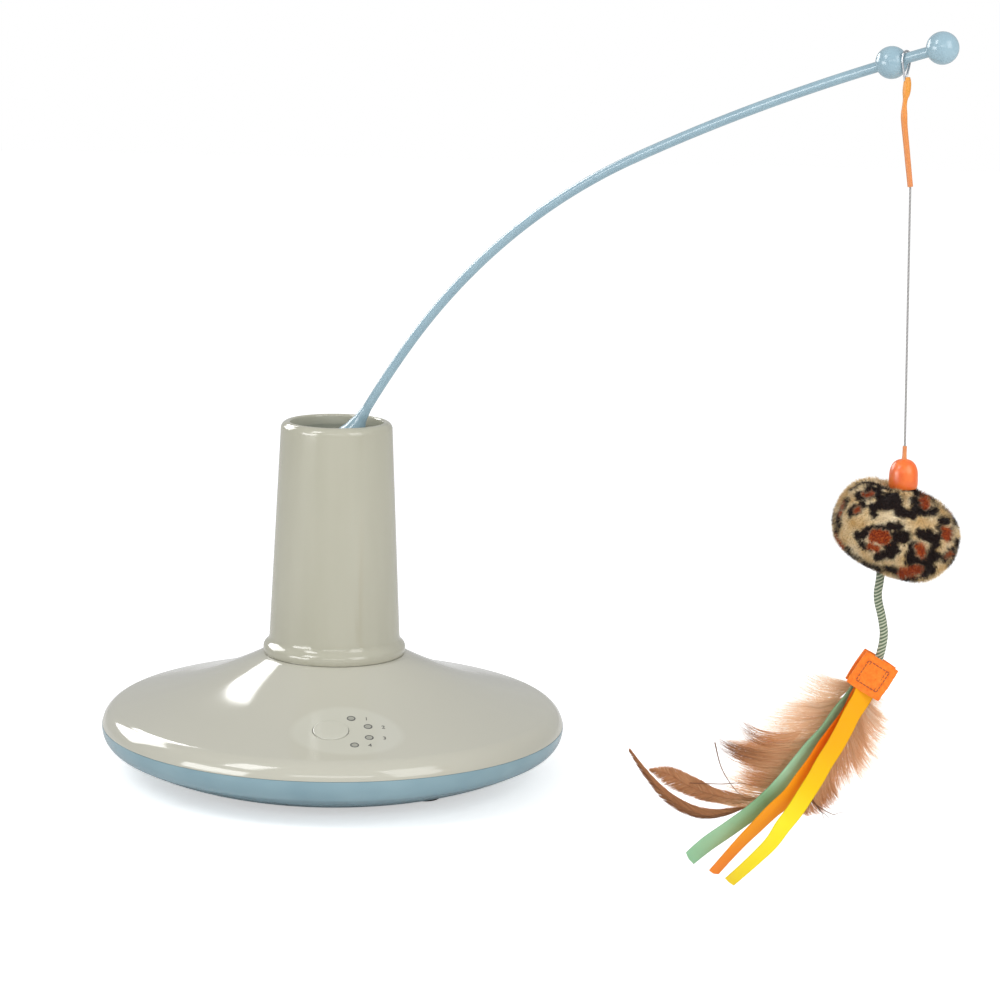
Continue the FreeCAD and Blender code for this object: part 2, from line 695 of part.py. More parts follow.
def wand_hub():
    skirt_top = HUB_Z + HUB_SKIRT
    dome_top = skirt_top + HUB_DOME
    z0 = BUSH_Z + BUSH_H + BUSH_GAP
    shoulder = V(HUB_R * 0.62, 0, skirt_top + HUB_DOME * 0.66)
    crown = bend(V(HUB_R, 0, skirt_top), shoulder, V(0, 0, dome_top), WIDE_FLATS)[:-1]
    lower = [V(HUB_R, 0, HUB_Z), V(HUB_BOSS_R, 0, HUB_Z), V(HUB_BOSS_R, 0, z0)]
    return gored(crown[::-1] + lower, TOWER_SIDES)


def wand():
    body = fuse([wand_hub(), wand_flare(), wand_rod()])
    low = BUSH_Z + BUSH_H
    return body.cut(cyl(SHAFT_R + SEAT_CLEAR, WAND_ROOT_Z - low, V(0, 0, low)))


WAND_END = WAND_STRAIGHT + sum(run for _, run in WAND_ARCS)
INNER_BALL = WAND_END - BALL_PITCH
LOOP_AT = INNER_BALL + math.sqrt(BALL_R ** 2 - WAND_R ** 2) + LOOP_WIRE_R + LOOP_CLEAR
LOOP_P = wand_at(LOOP_AT)[0]


def wire_loop():
    r = WAND_R / math.cos(rad(16)) + LOOP_CLEAR + LOOP_WIRE_R
    drop = V(0, 0, -LOOP_DROP)
    left = LOOP_P - E_SIDE * r
    right = LOOP_P + E_SIDE * r
    left_low = LOOP_P - E_SIDE * LOOP_FOOT_HALF + drop
    right_low = LOOP_P + E_SIDE * LOOP_FOOT_HALF + drop
    knee = V(0, 0, -LOOP_KNEE)
    crown = r * math.tan(rad(22.5))
    up = V(0, 0, crown)
    top = LOOP_P + V(0, 0, r)
    side = E_SIDE * crown
    path = Part.makePolygon([left_low, left + knee, left + up, top - side, top + side, right + up, right + knee, right_low])
    start = (left + knee - left_low).normalize()
    ring = ring_at(left_low, start, start.cross(E_WAND).normalize(), LOOP_WIRE_R, SHANK_SIDES)
    return path.makePipeShell([Part.makePolygon(ring + ring[:1])], True, False, 1)


HANG_Y = LOOP_P.y


def hang(x, z, y=0.0):
    return V(x, HANG_Y + y, z)


def loop_sleeve():
    top = LOOP_P + V(0, 0, -LOOP_DROP - LOOP_CLEAR)
    low = hang(LINE_TOP_X, top.z - SLEEVE_L)
    rings = []
    for share, side, r in SLEEVE_RINGS:
        centre = V(top.x + (low.x - top.x) * share ** 1.6 + side, HANG_Y, top.z + (low.z - top.z) * share)
        rings.append(ring_at(centre, V(0, 0, 1), V(1, 0, 0), r, HEAD_SIDES))
    return skin(rings)


SLEEVE_FOOT_Z = LOOP_P.z - LOOP_DROP - LOOP_CLEAR - SLEEVE_L
LINE_PIVOT = hang(LINE_TOP_X, SLEEVE_FOOT_Z - LINE_R - FIT)


def lure_line():
    low = hang(*FERRULE_TOP)
    return cyl(LINE_R, (low - LINE_PIVOT).Length, LINE_PIVOT, low - LINE_PIVOT)


def ferrule():
    base = hang(FERRULE_TOP[0], BEAD_TOP_Z)
    return cyl(FERRULE_R, FERRULE_TOP[1] - BEAD_TOP_Z, base)


def bead():
    r = LURE_BEAD_R
    h = LURE_BEAD_H
    bore = LURE_BEAD_BORE_R
    crown = bend(V(r, 0, h * 0.6), V(r * 0.72, 0, h * 0.88), V(bore, 0, h), RIM_FLATS)
    body = gored([V(bore, 0, 0), V(r * 0.88, 0, 0), V(r, 0, h * 0.12)] + crown, SMALL_SIDES, True)
    body.translate(hang(FERRULE_TOP[0], BEAD_TOP_Z - h))
    return body


def plush_ball():
    a = PLUSH_WIDE / 2
    b = PLUSH_TALL / 2
    s = PLUSH_SIDE_R
    t = ((a - s) ** 2 + b ** 2 - s ** 2) / (2 * (b - s))
    knee = math.atan2(t - b, a - s)
    knee_high = V(a - s + s * math.cos(knee), 0, s * math.sin(knee))
    knee_low = V(knee_high.x, 0, -knee_high.z)
    crown = V(PLUSH_CROWN_R, 0, b - t + math.sqrt(t ** 2 - PLUSH_CROWN_R ** 2))
    top = math.asin(knee_high.x / t) * 0.6
    shoulder = V(t * math.sin(top), 0, b - t + t * math.cos(top))
    belly = V(shoulder.x, 0, -shoulder.z)
    foot = V(crown.x, 0, -crown.z)
    profile = bend(crown, shoulder, knee_high, WIDE_FLATS)
    profile += bend(knee_high, V(a, 0, 0), knee_low, PLUSH_FLATS)[1:]
    profile += bend(knee_low, belly, foot, WIDE_FLATS)[1:]
    body = gored(profile, SMALL_SIDES)
    body.rotate(V(0, 0, 0), V(0, 1, 0), PLUSH_TILT)
    body.translate(hang(*PLUSH_CENTRE))
    seat_z = BEAD_TOP_Z - LURE_BEAD_H - FIT
    seat = prism(LURE_BEAD_R + BEAD_ROOM, SMALL_SIDES, 20, hang(FERRULE_TOP[0], seat_z))
    return body.cut(seat)


def cord_tube(points, r, label):
    runs = [(points[i + 1] - points[i]).Length for i in range(len(points) - 1)]
    path = [points[0]]
    length = 0.0
    radii = []
    for i in range(1, len(points) - 1):
        before = (points[i] - points[i - 1]).normalize()
        after = (points[i + 1] - points[i]).normalize()
        turn = before.getAngle(after)
        setback = 0.45 * min(runs[i - 1], runs[i])
        radius = setback / math.tan(turn / 2)
        radii.append(radius)
        a = points[i] - before * setback
        b = points[i] + after * setback
        to_mid = ((a + b) * 0.5 - points[i])
        mid = points[i] + to_mid.normalize() * (radius / math.cos(turn / 2) - radius)
        length += (a - path[-1]).Length + radius * turn
        path += bend(a, mid, b, CORD_FLATS)
    path.append(points[-1])
    length += (path[-1] - path[-2]).Length
    ways = [(b - a).normalize() for a, b in zip(path, path[1:])]
    ways = [ways[0]] + [(a + b).normalize() for a, b in zip(ways, ways[1:])] + [ways[-1]]
    tube = skin([ring_at(p, way, V(0, 1, 0), r, CORD_SIDES) for p, way in zip(path, ways)], False, True)
    section = outline(ring_at(points[0], V(0, 0, 1), V(0, 1, 0), r, CORD_SIDES)).Area
    print(label, "arc radii", [round(v, 1) for v in radii], "length", round(length, 1),
          "volume share", round(tube.Volume / (section * length), 4))
    return tube


def tab_plate(y):
    w, h, c = TAB_W / 2, TAB_H / 2, TAB_CORNER
    slab = Part.makeBox(2 * w, FELT_T, 2 * h, V(-w, 0, -h))
    corners = [e for e in slab.Edges if abs(e.Vertexes[0].Y - e.Vertexes[1].Y) > FELT_T / 2]
    slab = slab.makeFillet(c, corners)
    slab.rotate(V(0, 0, 0), V(0, 1, 0), -TAB_TURN)
    slab.translate(hang(TAB_CENTRE[0], TAB_CENTRE[1], y))
    return slab


def ribbon(a, m, b, y, fan):
    start, mid, end = [V(p[0], 0, p[1]) for p in (a, m, b)]
    centre = Part.Arc(start, mid, end).toShape().Curve.Center
    half = RIBBON_W / 2

    def shifted(p, d):
        return p + (p - centre).normalize() * d

    outer = [shifted(p, half) for p in (start, mid, end)]
    inner = [shifted(p, -half) for p in (start, mid, end)]
    body = outline(bend(*outer, STRIP_FLATS) + bend(*inner[::-1], STRIP_FLATS)).extrude(V(0, RIBBON_T, 0))
    body.rotate(start, V(1, 0, 0), fan)
    body.translate(V(0, HANG_Y + y, 0))
    return body


def feather(a, m, b, width, y, fan):
    start, mid, end = [V(p[0], 0, p[1]) for p in (a, m, b)]
    chord = (end - start).normalize()
    side = V(-chord.z, 0, chord.x)
    edge = bend(start, mid + side * width, end, STRIP_FLATS)
    edge += bend(end, mid - side * width, start, STRIP_FLATS)[1:-1]
    body = outline(edge).extrude(V(0, FEATHER_T, 0))
    body.rotate(start, V(1, 0, 0), fan)
    body.translate(V(0, HANG_Y + y, 0))
    return body


def bow_contact(x, z, end):
    foot = end * (BAY_Y - BAY_WALL - FIT_CLOSE)
    crown = end * (CELL_L / 2 + FIT_CLOSE)
    back = crown + end * CONTACT_T
    flat = ((foot, -BOW_FOOT), (crown, -BOW_CROWN), (crown, BOW_CROWN), (foot, BOW_FOOT),
            (foot, BOW_FOOT - CONTACT_T), (back, 0), (foot, CONTACT_T - BOW_FOOT))
    points = [V(x - BOW_HALF, y, z + up) for y, up in flat]
    return outline(points).extrude(V(2 * BOW_HALF, 0, 0))


def battery_door():
    low = (-DOOR_X + FIT, -DOOR_Y - DOOR_TAIL + FIT, DOOR_LOW_Z)
    door = box(low, (DOOR_X - FIT, DOOR_Y - FIT, DOOR_LOW_Z + DOOR_T))
    upright = [e for e in door.Edges if abs(e.Vertexes[0].Z - e.Vertexes[1].Z) > DOOR_T / 2]
    door = door.makeFillet(DOOR_CORNER_R, upright)
    at = V(DOOR_SCREW.x, DOOR_SCREW.y, DOOR_LOW_Z)
    cuts = [shank_hole(at.x, at.y, 0, 6), prism(SCREW_HEAD_R + SCREW_CLEAR, HEAD_SIDES, DOOR_HEAD_H, at)]
    for i in range(GRIP_COUNT):
        y = DOOR_Y - 8 - GRIP_PITCH * i
        cuts.append(box((-GRIP_HALF, y, DOOR_LOW_Z), (GRIP_HALF, y + 1, DOOR_LOW_Z + GRIP_DEPTH)))
    return door.cut(cuts)


def cell(x, turn):
    face = turn * CELL_L / 2
    shoulder = turn * (CELL_L / 2 - NUB_H)
    can = cyl(CELL_R, CELL_L - NUB_H, V(x, -face, CELL_Z), V(0, turn, 0))
    nub = box((x - NUB_HALF, min(face, shoulder), CELL_Z - NUB_HALF),
              (x + NUB_HALF, max(face, shoulder), CELL_Z + NUB_HALF))
    return can.fuse(nub).removeSplitter()


def build_base():
    keep("dome_shell", dome_shell())
    keep("lower_shell", lower_shell())
    keep("tower_shell", tower_shell())
    keep("rubber_feet", Part.Compound([prism(FOOT_R, SMALL_SIDES, FOOT_H, p) for p in FOOT_SPOTS]))
    keep("shell_screws", Part.Compound([screw(p, WELL_DEPTH - SCREW_HEAD_H, 15) for p in SHELL_SPOTS]))
    head_z = COLLAR_Z - WALL - SCREW_HEAD_H
    keep("tower_screws", Part.Compound([screw(q, head_z, 9, True, TOWER_HEAD_R) for q in TOWER_SPOTS]))
    keep("battery_door", battery_door())
    places = [(i - (CELL_COUNT - 1) / 2) * CELL_PITCH for i in range(CELL_COUNT)]
    keep("battery_cells", Part.Compound([cell(x, 1 if i % 2 == 0 else -1) for i, x in enumerate(places)]))
    keep("door_screw", screw(DOOR_SCREW, DOOR_LOW_Z, 8, True, SCREW_HEAD_R, DOOR_HEAD_H))
    bows = [bow_contact(x, CELL_Z, end) for x in places for end in (-1, 1)]
    keep("battery_contacts", Part.Compound(bows))


def motor_can():
    can = cyl(MOTOR_R, MOTOR_L, V(MOTOR_X, 0, PLATE_Z - MOTOR_L))
    nose = prism(MOTOR_NOSE_R, HEAD_SIDES, MOTOR_NOSE_H, V(MOTOR_X, 0, PLATE_Z))
    bore = cyl(MOTOR_SHAFT_R + RUN_CLEAR, MOTOR_L, V(MOTOR_X, 0, MOTOR_WELL_Z))
    return can.fuse(nose).removeSplitter().cut(bore)


def shaft_clip():
    low = PLATE_Z - CLIP_DROP
    ring = cyl(CLIP_R, CLIP_T, V(0, 0, low)).cut(cyl(SHAFT_R + CLIP_CLEAR, 3, V(0, 0, low - 1)))
    return ring.cut(box((0, -CLIP_SLOT_HALF, low - 1), (CLIP_R + 1, CLIP_SLOT_HALF, low + 2)))


def tower_bush():
    body = prism(BUSH_R, SMALL_SIDES, BUSH_H, V(0, 0, BUSH_Z))
    flange = prism(BUSH_R + BUSH_FLANGE, SMALL_SIDES, BUSH_FLANGE_H, V(0, 0, BUSH_Z + BUSH_H))
    return body.fuse(flange).cut(cyl(SHAFT_R + RUN_CLEAR, BUSH_H + 6, V(0, 0, BUSH_Z - 1)))


def build_gears():
    half_pinion = 180.0 / PINION_TEETH
    bore = MOTOR_SHAFT_R + CLIP_CLEAR
    pinion = gear(PINION_TEETH, MOTOR_MODULE, MOTOR_LAYER_T, GEAR_Z1, MOTOR_X, bore, half_pinion)
    keep("motor_pinion", pinion)
    first = compound(FIRST_LARGE, MOTOR_MODULE, GEAR_Z1, MOTOR_LAYER_T,
                     FIRST_SMALL, DRIVE_MODULE, GEAR_Z2 - LAYER_GAP, MID_LAYER_T + LAYER_GAP,
                     FIRST_X, 180.0 / FIRST_SMALL)
    keep("first_gear", first)
    second = compound(SECOND_LARGE, DRIVE_MODULE, GEAR_Z2, MID_LAYER_T,
                      SECOND_SMALL, DRIVE_MODULE, GEAR_Z3 - LAYER_GAP, OUT_LAYER_T + LAYER_GAP,
                      SECOND_X, 180.0 / SECOND_SMALL)
    keep("second_gear", second)
    keep("output_gear", gear(OUTPUT_TEETH, DRIVE_MODULE, OUT_LAYER_T, GEAR_Z3, 0, SHAFT_R + SEAT_CLEAR, 0))


def build_drive():
    keep("gear_frame_lower", gear_frame_lower())
    keep("gear_frame_upper", gear_frame_upper())
    head_z = PLATE_Z + PLATE_T + SCREW_HEAD_H
    keep("post_screws", Part.Compound([screw(V(x, y, 0), head_z, 9, False) for x, y in FRAME_POSTS]))
    keep("motor_can", motor_can())
    tail_z = MOTOR_WELL_Z + FIT
    keep("motor_shaft", cyl(MOTOR_SHAFT_R, GEAR_Z1 + MOTOR_LAYER_T - tail_z, V(MOTOR_X, 0, tail_z)))
    build_gears()
    for name, x in (("first_gear_pin", FIRST_X), ("second_gear_pin", SECOND_X)):
        keep(name, cyl(PIN_R, TOP_PLATE_Z + PLATE_T - PLATE_Z, V(x, 0, PLATE_Z)))
    foot_z = PLATE_Z - SHAFT_TAIL
    keep("drive_shaft", cyl(SHAFT_R, WAND_ROOT_Z - 1.5 - foot_z, V(0, 0, foot_z)))
    keep("shaft_clip", shaft_clip())
    keep("tower_bush", tower_bush())


def button_disc(low, high, r, sides):
    return skin([ring_at(BUTTON_O + BUTTON_W * up, BUTTON_W, BUTTON_U, r, sides) for up in (low, high)])


def mode_button():
    cap_low = BUTTON_PROUD - BUTTON_T
    plate_low = cap_low - BUTTON_PLATE
    stem_low = SWITCH_H + BUTTON_PLAY - BOARD_DROP
    cap = cyl(BUTTON_R, BUTTON_T, BUTTON_O + BUTTON_W * cap_low, BUTTON_W)
    flange = button_disc(plate_low, cap_low, BUTTON_R + BUTTON_FLANGE, SMALL_SIDES)
    stem = button_disc(stem_low, plate_low + 0.5, BUTTON_STEM_R, HEAD_SIDES)
    return fuse([cap, flange, stem])


def board_screw(u, v):
    low = V(u, v, -BOARD_DROP - BOARD_T - BOARD_HEAD_H)
    head = prism(BOARD_HEAD_R, HEAD_SIDES, BOARD_HEAD_H, low)
    shank = prism(BOARD_SCREW_R, SHANK_SIDES, BOARD_SCREW_L, low)
    return panel_place(head.fuse(shank).removeSplitter())


def build_controls():
    keep("mode_button", mode_button())
    board = Part.makeBox(BOARD_W, BOARD_D, BOARD_T, V(-BOARD_W / 2, -BOARD_D / 2, -BOARD_DROP - BOARD_T))
    holes = [prism(BOARD_SCREW_R + FIT, SHANK_SIDES, 6, V(u, v, -BOARD_DROP - 4)) for u, v in board_bosses()]
    keep("circuit_board", panel_place(board.cut(holes)))
    keep("board_screws", Part.Compound([board_screw(u, v) for u, v in board_bosses()]))
    case_o = BUTTON_O + BUTTON_W * (SWITCH_SEAT - BOARD_DROP)
    body = cyl(SWITCH_R, SWITCH_CASE_H, case_o, BUTTON_W)
    keep("tact_switch", body.cut(cyl(PLUNGER_R + 0.15, 2.0, case_o + BUTTON_W * 0.6, BUTTON_W)))
    keep("switch_plunger", cyl(PLUNGER_R, 2.1, case_o + BUTTON_W * 1.5, BUTTON_W))
    for i, spot in enumerate(LENS_SPOTS):
        keep("indicator_lens_%d" % (i + 1), lens_bar(spot, LENS_R, -6.0, 4.0).common(HULL_TOP))


def build_rotor():
    keep("wand", wand())


def build_lure():
    keep("wire_loop", wire_loop())
    keep("loop_sleeve", loop_sleeve())
    keep("lure_line", lure_line())
    keep("line_ferrule", ferrule())
    keep("orange_bead", bead())
    keep("plush_ball", plush_ball())
    cord = cord_tube([hang(x, z) for x, z in TAIL_ROUTE], TAIL_R, "tail cord")
    tip_axis = (hang(*TAIL_ROUTE[0]) - hang(*TAIL_ROUTE[1])).normalize()
    start = hang(*TAIL_ROUTE[0])
    tip = skin([ring_at(start, tip_axis, V(0, 1, 0), TAIL_R, CORD_SIDES),
                ring_at(start + tip_axis * TAIL_TIP, tip_axis, V(0, 1, 0), TAIL_TIP_R, CORD_SIDES)])
    keep("tail_cord", cord.fuse(tip).removeSplitter())
    keep("felt_front", tab_plate(-TAB_GAP / 2 - FELT_T))
    keep("felt_back", tab_plate(TAB_GAP / 2))
    keep("ribbon_yellow", ribbon((265.8, 106.5), (241.0, 53.0), (204.8, 7.4), -1.9, -2.0))
    keep("ribbon_orange", ribbon((262.3, 106.5), (236.0, 61.0), (195.2, 11.2), -1.3, 0.0))
    keep("ribbon_green", ribbon((259.8, 107.0), (231.5, 65.5), (183.0, 17.4), -0.7, 2.0))
    keep("feather_long", feather((261, 103), (207, 43), (153.1, 70.8), 3.5, 0.1, 3.0))
    keep("feather_broad", feather((261, 103), (214, 58), (163, 64), 7.0, 0.7, 4.0))
    keep("feather_left", feather((261, 104), (229, 87), (197, 86), 13.0, 1.3, 5.0))
    keep("feather_right", feather((264, 104), (269, 72), (250, 38), 11.0, 1.8, 6.0))


def main():
    os.makedirs("parts", exist_ok=True)
    build_base()
    build_drive()
    build_controls()
    build_rotor()
    build_lure()
    for name, shape in parts.items():
        bad = [s for s in shape.Solids if not s.isValid() or s.Volume <= 0]
        state = "BAD" if bad else "ok"
        print("%-18s solids %d vol %9.1f  %s" % (name, len(shape.Solids), shape.Volume, state))
        shape.exportStep("parts/%s.step" % name)


main()
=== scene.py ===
import math
import random

import bmesh
import bpy
import numpy as np
from mathutils import Matrix, Vector, noise


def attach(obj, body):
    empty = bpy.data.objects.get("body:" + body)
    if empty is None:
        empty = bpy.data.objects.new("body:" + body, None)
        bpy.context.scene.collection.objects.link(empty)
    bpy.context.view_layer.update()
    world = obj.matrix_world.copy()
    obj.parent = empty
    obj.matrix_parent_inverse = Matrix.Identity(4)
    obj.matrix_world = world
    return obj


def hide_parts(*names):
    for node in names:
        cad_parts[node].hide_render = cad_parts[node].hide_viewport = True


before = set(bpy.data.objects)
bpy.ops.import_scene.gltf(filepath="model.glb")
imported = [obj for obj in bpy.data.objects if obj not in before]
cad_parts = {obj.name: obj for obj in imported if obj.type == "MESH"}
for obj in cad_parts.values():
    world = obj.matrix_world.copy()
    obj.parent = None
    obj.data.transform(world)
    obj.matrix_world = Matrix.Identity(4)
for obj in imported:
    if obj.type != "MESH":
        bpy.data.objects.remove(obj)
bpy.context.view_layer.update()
MM = 0.001
PER_MM = 1 / MM
UP = Vector((0, 0, 1))

# Shells
BASE_R = 127.0
WALL = 2.5
SEAM_Z = 28.5
RIM_Z = 27.1
TOP_RIM_R = 11.5
SHOULDER_R = 95.0
SHOULDER_DEG = 15.1
SADDLE_R = 250.0
COLLAR_R = 39.1
COLLAR_HOLE_R = 33.0
BOWL_RIM_R = 12.0
BOWL_DEG = 28.0
BOWL_R = 150.0
BOTTOM_Z = 2.0
SEAM_GAP = 0.12
SKIN_PROUD = 0.04
SKIN_T = 0.5
SCREW_RING_R = 104.0
SCREW_WELL_R = 3.3
TURN_STEPS = 192
EDGE_DEG = 35.0

# Controls
BUTTON_O = Vector((3.938831, -90.214054, 46.016288))
BUTTON_W = Vector((0.01305, -0.298905, 0.954194))
PANEL_W = Vector((0.031274, -0.297551, 0.954194))
PANEL_U = Vector((0.994522, 0.104528, 0.0))
BUTTON_R = 9.3
BUTTON_PROUD = 0.6
LENS_R = 2.1
LENS_SPOTS = ((13.8, -77.8), (23.0, -83.9), (24.2, -94.7), (17.1, -103.2))
NUMBER_SHIFT = 8.0
NUMBER_H = 4.2

# Tower
COLLAR_Z = 67.158
TOWER_H = 195.5
TOWER_TOP_R = 30.4
TOWER_LOW_R = 35.8
TOWER_WALL = 2.5
BEAD_R = 38.6
BEAD_H = 9.0
LIP_R = 4.0
MOUTH_R = 25.3

# Wand: straight root, then arcs of radius and run in its turning plane
WAND_AZIMUTH = -38.0
WAND_ROOT_Z = 174.1
WAND_LEAN = 55.23
WAND_STRAIGHT = 25.7
WAND_ARCS = ((656.8, 55.3), (380.9, 182.1), (1262.0, 178.9))
WAND_R = 2.45
BALL_R = 7.5
BALL_PITCH = 27.0
HUB_R = 24.3
HUB_Z = 166.0
ROD_SIDES = 40
ROD_STEPS = 90
FLARE_STEPS = 36
FLARE_STEP = 1.1
# The flare between hub and rod: distance along the wand, radius, and how far a ring has turned from level
FLARE = ((2.5, 17.0, 0.1), (9.0, 12.6, 0.35), (16.0, 8.9, 0.6), (24.0, 5.2, 0.9), (31.0, 3.2, 1.0), (38.0, 2.45, 1.0))

# Lure, on the plane y = HANG_Y
HANG_Y = -211.3225
LOOP_P = Vector((270.48048, HANG_Y, 400.06788))
LOOP_DROP = 8.2
WIRE_R = 0.5
SLEEVE_L = 49.8
LINE_TOP = Vector((275.0, HANG_Y, 341.9))
LINE_LOW = Vector((278.1, HANG_Y, 221.2))
LINE_D = 1.0
FERRULE_LOW_Z = 215.0
LURE_BEAD_H = 13.9
LURE_BEAD_R = 6.8
PLUSH_C = Vector((275.6, HANG_Y, 181.6))
PLUSH_WIDE = 62.0
PLUSH_TALL = 46.0
PLUSH_TILT = 21.0
TAIL_ROUTE = ((269.5, 160.4), (269.4, 157.4), (268.2, 149.0), (271.4, 138.5), (272.9, 128.0), (270.4, 118.6))
TAIL_D = 4.0
TAB_C = (267.4, 111.3)
TAB_W = 17.2
TAB_H = 16.6
TAB_TURN = -31.0
TAB_GAP = 4.6
FELT_T = 1.5
RIBBON_W = 10.0
RIBBON_T = 0.22
RIBBON_ROWS = 110
# Ribbon edges as x, z on the hanging plane, each with the width seen there
YELLOW_EDGE = (
    (260.7, 106.5, 10), (259.0, 101.6, 9.2), (255.1, 93.7, 8.5), (251.6, 85.8, 8.5), (247.7, 77.8, 8.5),
    (243.2, 69.9, 8.5), (239.3, 61.9, 8.4), (234.8, 53.9, 8.4), (230.3, 45.9, 8.2), (224.9, 37.8, 7.8),
    (220.4, 29.7, 6.9), (213.5, 21.6, 6.2), (205.7, 13.5, 5.7), (201.5, 9.4, 5.6),
)
ORANGE_EDGE = (
    (260.2, 106.5, 8), (257.6, 101.6, 8), (254.1, 93.7, 8), (248.8, 85.7, 8), (243.4, 77.7, 8),
    (238.9, 69.8, 8), (233.5, 61.8, 8), (228.1, 53.7, 7.9), (220.3, 45.6, 7), (213.4, 37.5, 6.2),
    (206.5, 29.4, 5.5), (200.1, 21.3, 5), (193.7, 13.2, 4.8),
)
GREEN_EDGE = (
    (258.3, 106.5, 5), (255.2, 101.5, 6), (249.4, 93.6, 7), (244.5, 85.6, 7.2), (237.7, 77.6, 7.4),
    (231.8, 69.6, 7.5), (225.9, 61.6, 7.5), (219.1, 53.5, 7.5), (210.7, 45.4, 7.6), (200.5, 37.3, 7.6),
    (189.8, 29.1, 7.5), (181.4, 20.9, 6.8),
)


# Colour, nodes and meshes
def colour(code):
    parts = [int(code[i:i + 2], 16) / 255 for i in (1, 3, 5)]
    linear = [c / 12.92 if c <= 0.04045 else ((c + 0.055) / 1.055) ** 2.4 for c in parts]
    return (*linear, 1.0)


def node(tree, kind, settings=None, links=None, to=None):
    # Lower-case keys are the node's own settings and the rest its inputs. A linked node gives its first output,
    # and this one's first output goes to the socket named last
    made = tree.nodes.new("ShaderNode" + kind)
    for key, value in (settings or {}).items():
        if key == "stops":
            cells = made.color_ramp.elements
            while len(cells) < len(value):
                cells.new(0.5)
            for cell, (at, code) in zip(cells, value):
                cell.position = at
                cell.color = colour(code)
        elif isinstance(key, str) and key.islower():
            setattr(made, key, value)
        else:
            made.inputs[key].default_value = value
    for key, source in (links or {}).items():
        tree.links.new(getattr(source, "outputs", [source])[0], made.inputs[key])
    if to:
        tree.links.new(made.outputs[0], to)
    return made


def finish(name, base, rough, **settings):
    # A new material, its tree, its shader's inputs, and the object coordinates that patterns read
    made = bpy.data.materials.new(name)
    made.use_nodes = True
    tree = made.node_tree
    shader = tree.nodes["Principled BSDF"].inputs
    shader["Base Color"].default_value = colour(base)
    shader["Roughness"].default_value = rough
    for key, value in settings.items():
        shader[key.replace("_", " ")].default_value = value
    place = node(tree, "TexCoord").outputs["Object"]
    return made, tree, shader, place


def placed(name, data):
    made = bpy.data.objects.new(name, data)
    bpy.context.scene.collection.objects.link(made)
    return made


def metre_mesh(name, bm):
    # A bmesh in millimetres becomes a mesh in metres
    bmesh.ops.scale(bm, vec=(MM, MM, MM), verts=bm.verts)
    mesh = bpy.data.meshes.new(name)
    bm.to_mesh(mesh)
    bm.free()
    return mesh


def shade(mesh, degrees):
    mesh.polygons.foreach_set("use_smooth", [True] * len(mesh.polygons))
    if degrees < 180:
        mesh.set_sharp_from_angle(angle=math.radians(degrees))


def piece(name, bm, body, material, replaces=(), smooth_deg=EDGE_DEG):
    mesh = metre_mesh(name, bm)
    shade(mesh, smooth_deg)
    made = placed(name, mesh)
    mesh.materials.append(material)
    dress(made, body, replaces)
    return made


def dress(made, body, replaces=()):
    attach(made, body)
    if replaces:
        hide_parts(*replaces)


def turned(profile, steps=TURN_STEPS, closed=True):
    bm = bmesh.new()
    verts = [bm.verts.new((x, 0, z)) for x, z in profile]
    edges = [bm.edges.new(pair) for pair in zip(verts, verts[1:])]
    if closed:
        edges.append(bm.edges.new((verts[-1], verts[0])))
    bmesh.ops.spin(bm, geom=verts + edges, cent=(0, 0, 0), axis=(0, 0, 1), angle=2 * math.pi, steps=steps,
                   use_merge=True)
    bmesh.ops.remove_doubles(bm, verts=bm.verts, dist=1e-4)
    bmesh.ops.recalc_face_normals(bm, faces=bm.faces)
    return bm


def sweep(cx, cz, r, start, end, count):
    spots = [math.radians(start + (end - start) * i / count) for i in range(count + 1)]
    return [(cx + r * math.sin(a), cz + r * math.cos(a)) for a in spots]


def aimed(origin, w):
    return Matrix.Translation(origin) @ w.to_track_quat("Z", "Y").to_matrix().to_4x4()


def cut(made, cutters):
    for cutter in cutters:
        mod = made.modifiers.new("cut", "BOOLEAN")
        mod.operation = "DIFFERENCE"
        mod.solver = "EXACT"
        mod.object = cutter
    graph = bpy.context.evaluated_depsgraph_get()
    graph.update()
    mesh = bpy.data.meshes.new_from_object(made.evaluated_get(graph))
    made.modifiers.clear()
    made.data = mesh
    for cutter in cutters:
        bpy.data.objects.remove(cutter)
    shade(mesh, EDGE_DEG)


def drill(r, length, origin, w, low):
    bm = bmesh.new()
    bmesh.ops.create_cone(bm, cap_ends=True, segments=64, radius1=r, radius2=r, depth=length,
                          matrix=aimed(origin + w * (low + length / 2), w))
    return placed("drill", metre_mesh("drill", bm))


def hang(x, z, y=0.0):
    return Vector((x, HANG_Y + y, z))


# Camera: it looks from the front, a little down, with the photograph's slight roll
CAMERA_AT = (0.089529, -1.5, 0.42175)
CAMERA_LENS = 100.47
CAMERA_TILT = 79.87
CAMERA_ROLL = 1.22
# Its place in millimetres, for the forms that are drawn as they are seen
EYE_X, EYE_Y, EYE_Z = 89.5, -1500.0, 421.8


def camera():
    data = bpy.data.cameras.new("camera")
    data.lens = CAMERA_LENS
    data.sensor_width = 36.0
    data.clip_end = 20.0
    made = placed("camera", data)
    made.location = CAMERA_AT
    tilt = Matrix.Rotation(math.radians(CAMERA_TILT), 4, "X")
    roll = Matrix.Rotation(math.radians(CAMERA_ROLL), 4, "Z")
    made.rotation_euler = (tilt @ roll).to_euler()
    bpy.context.scene.camera = made


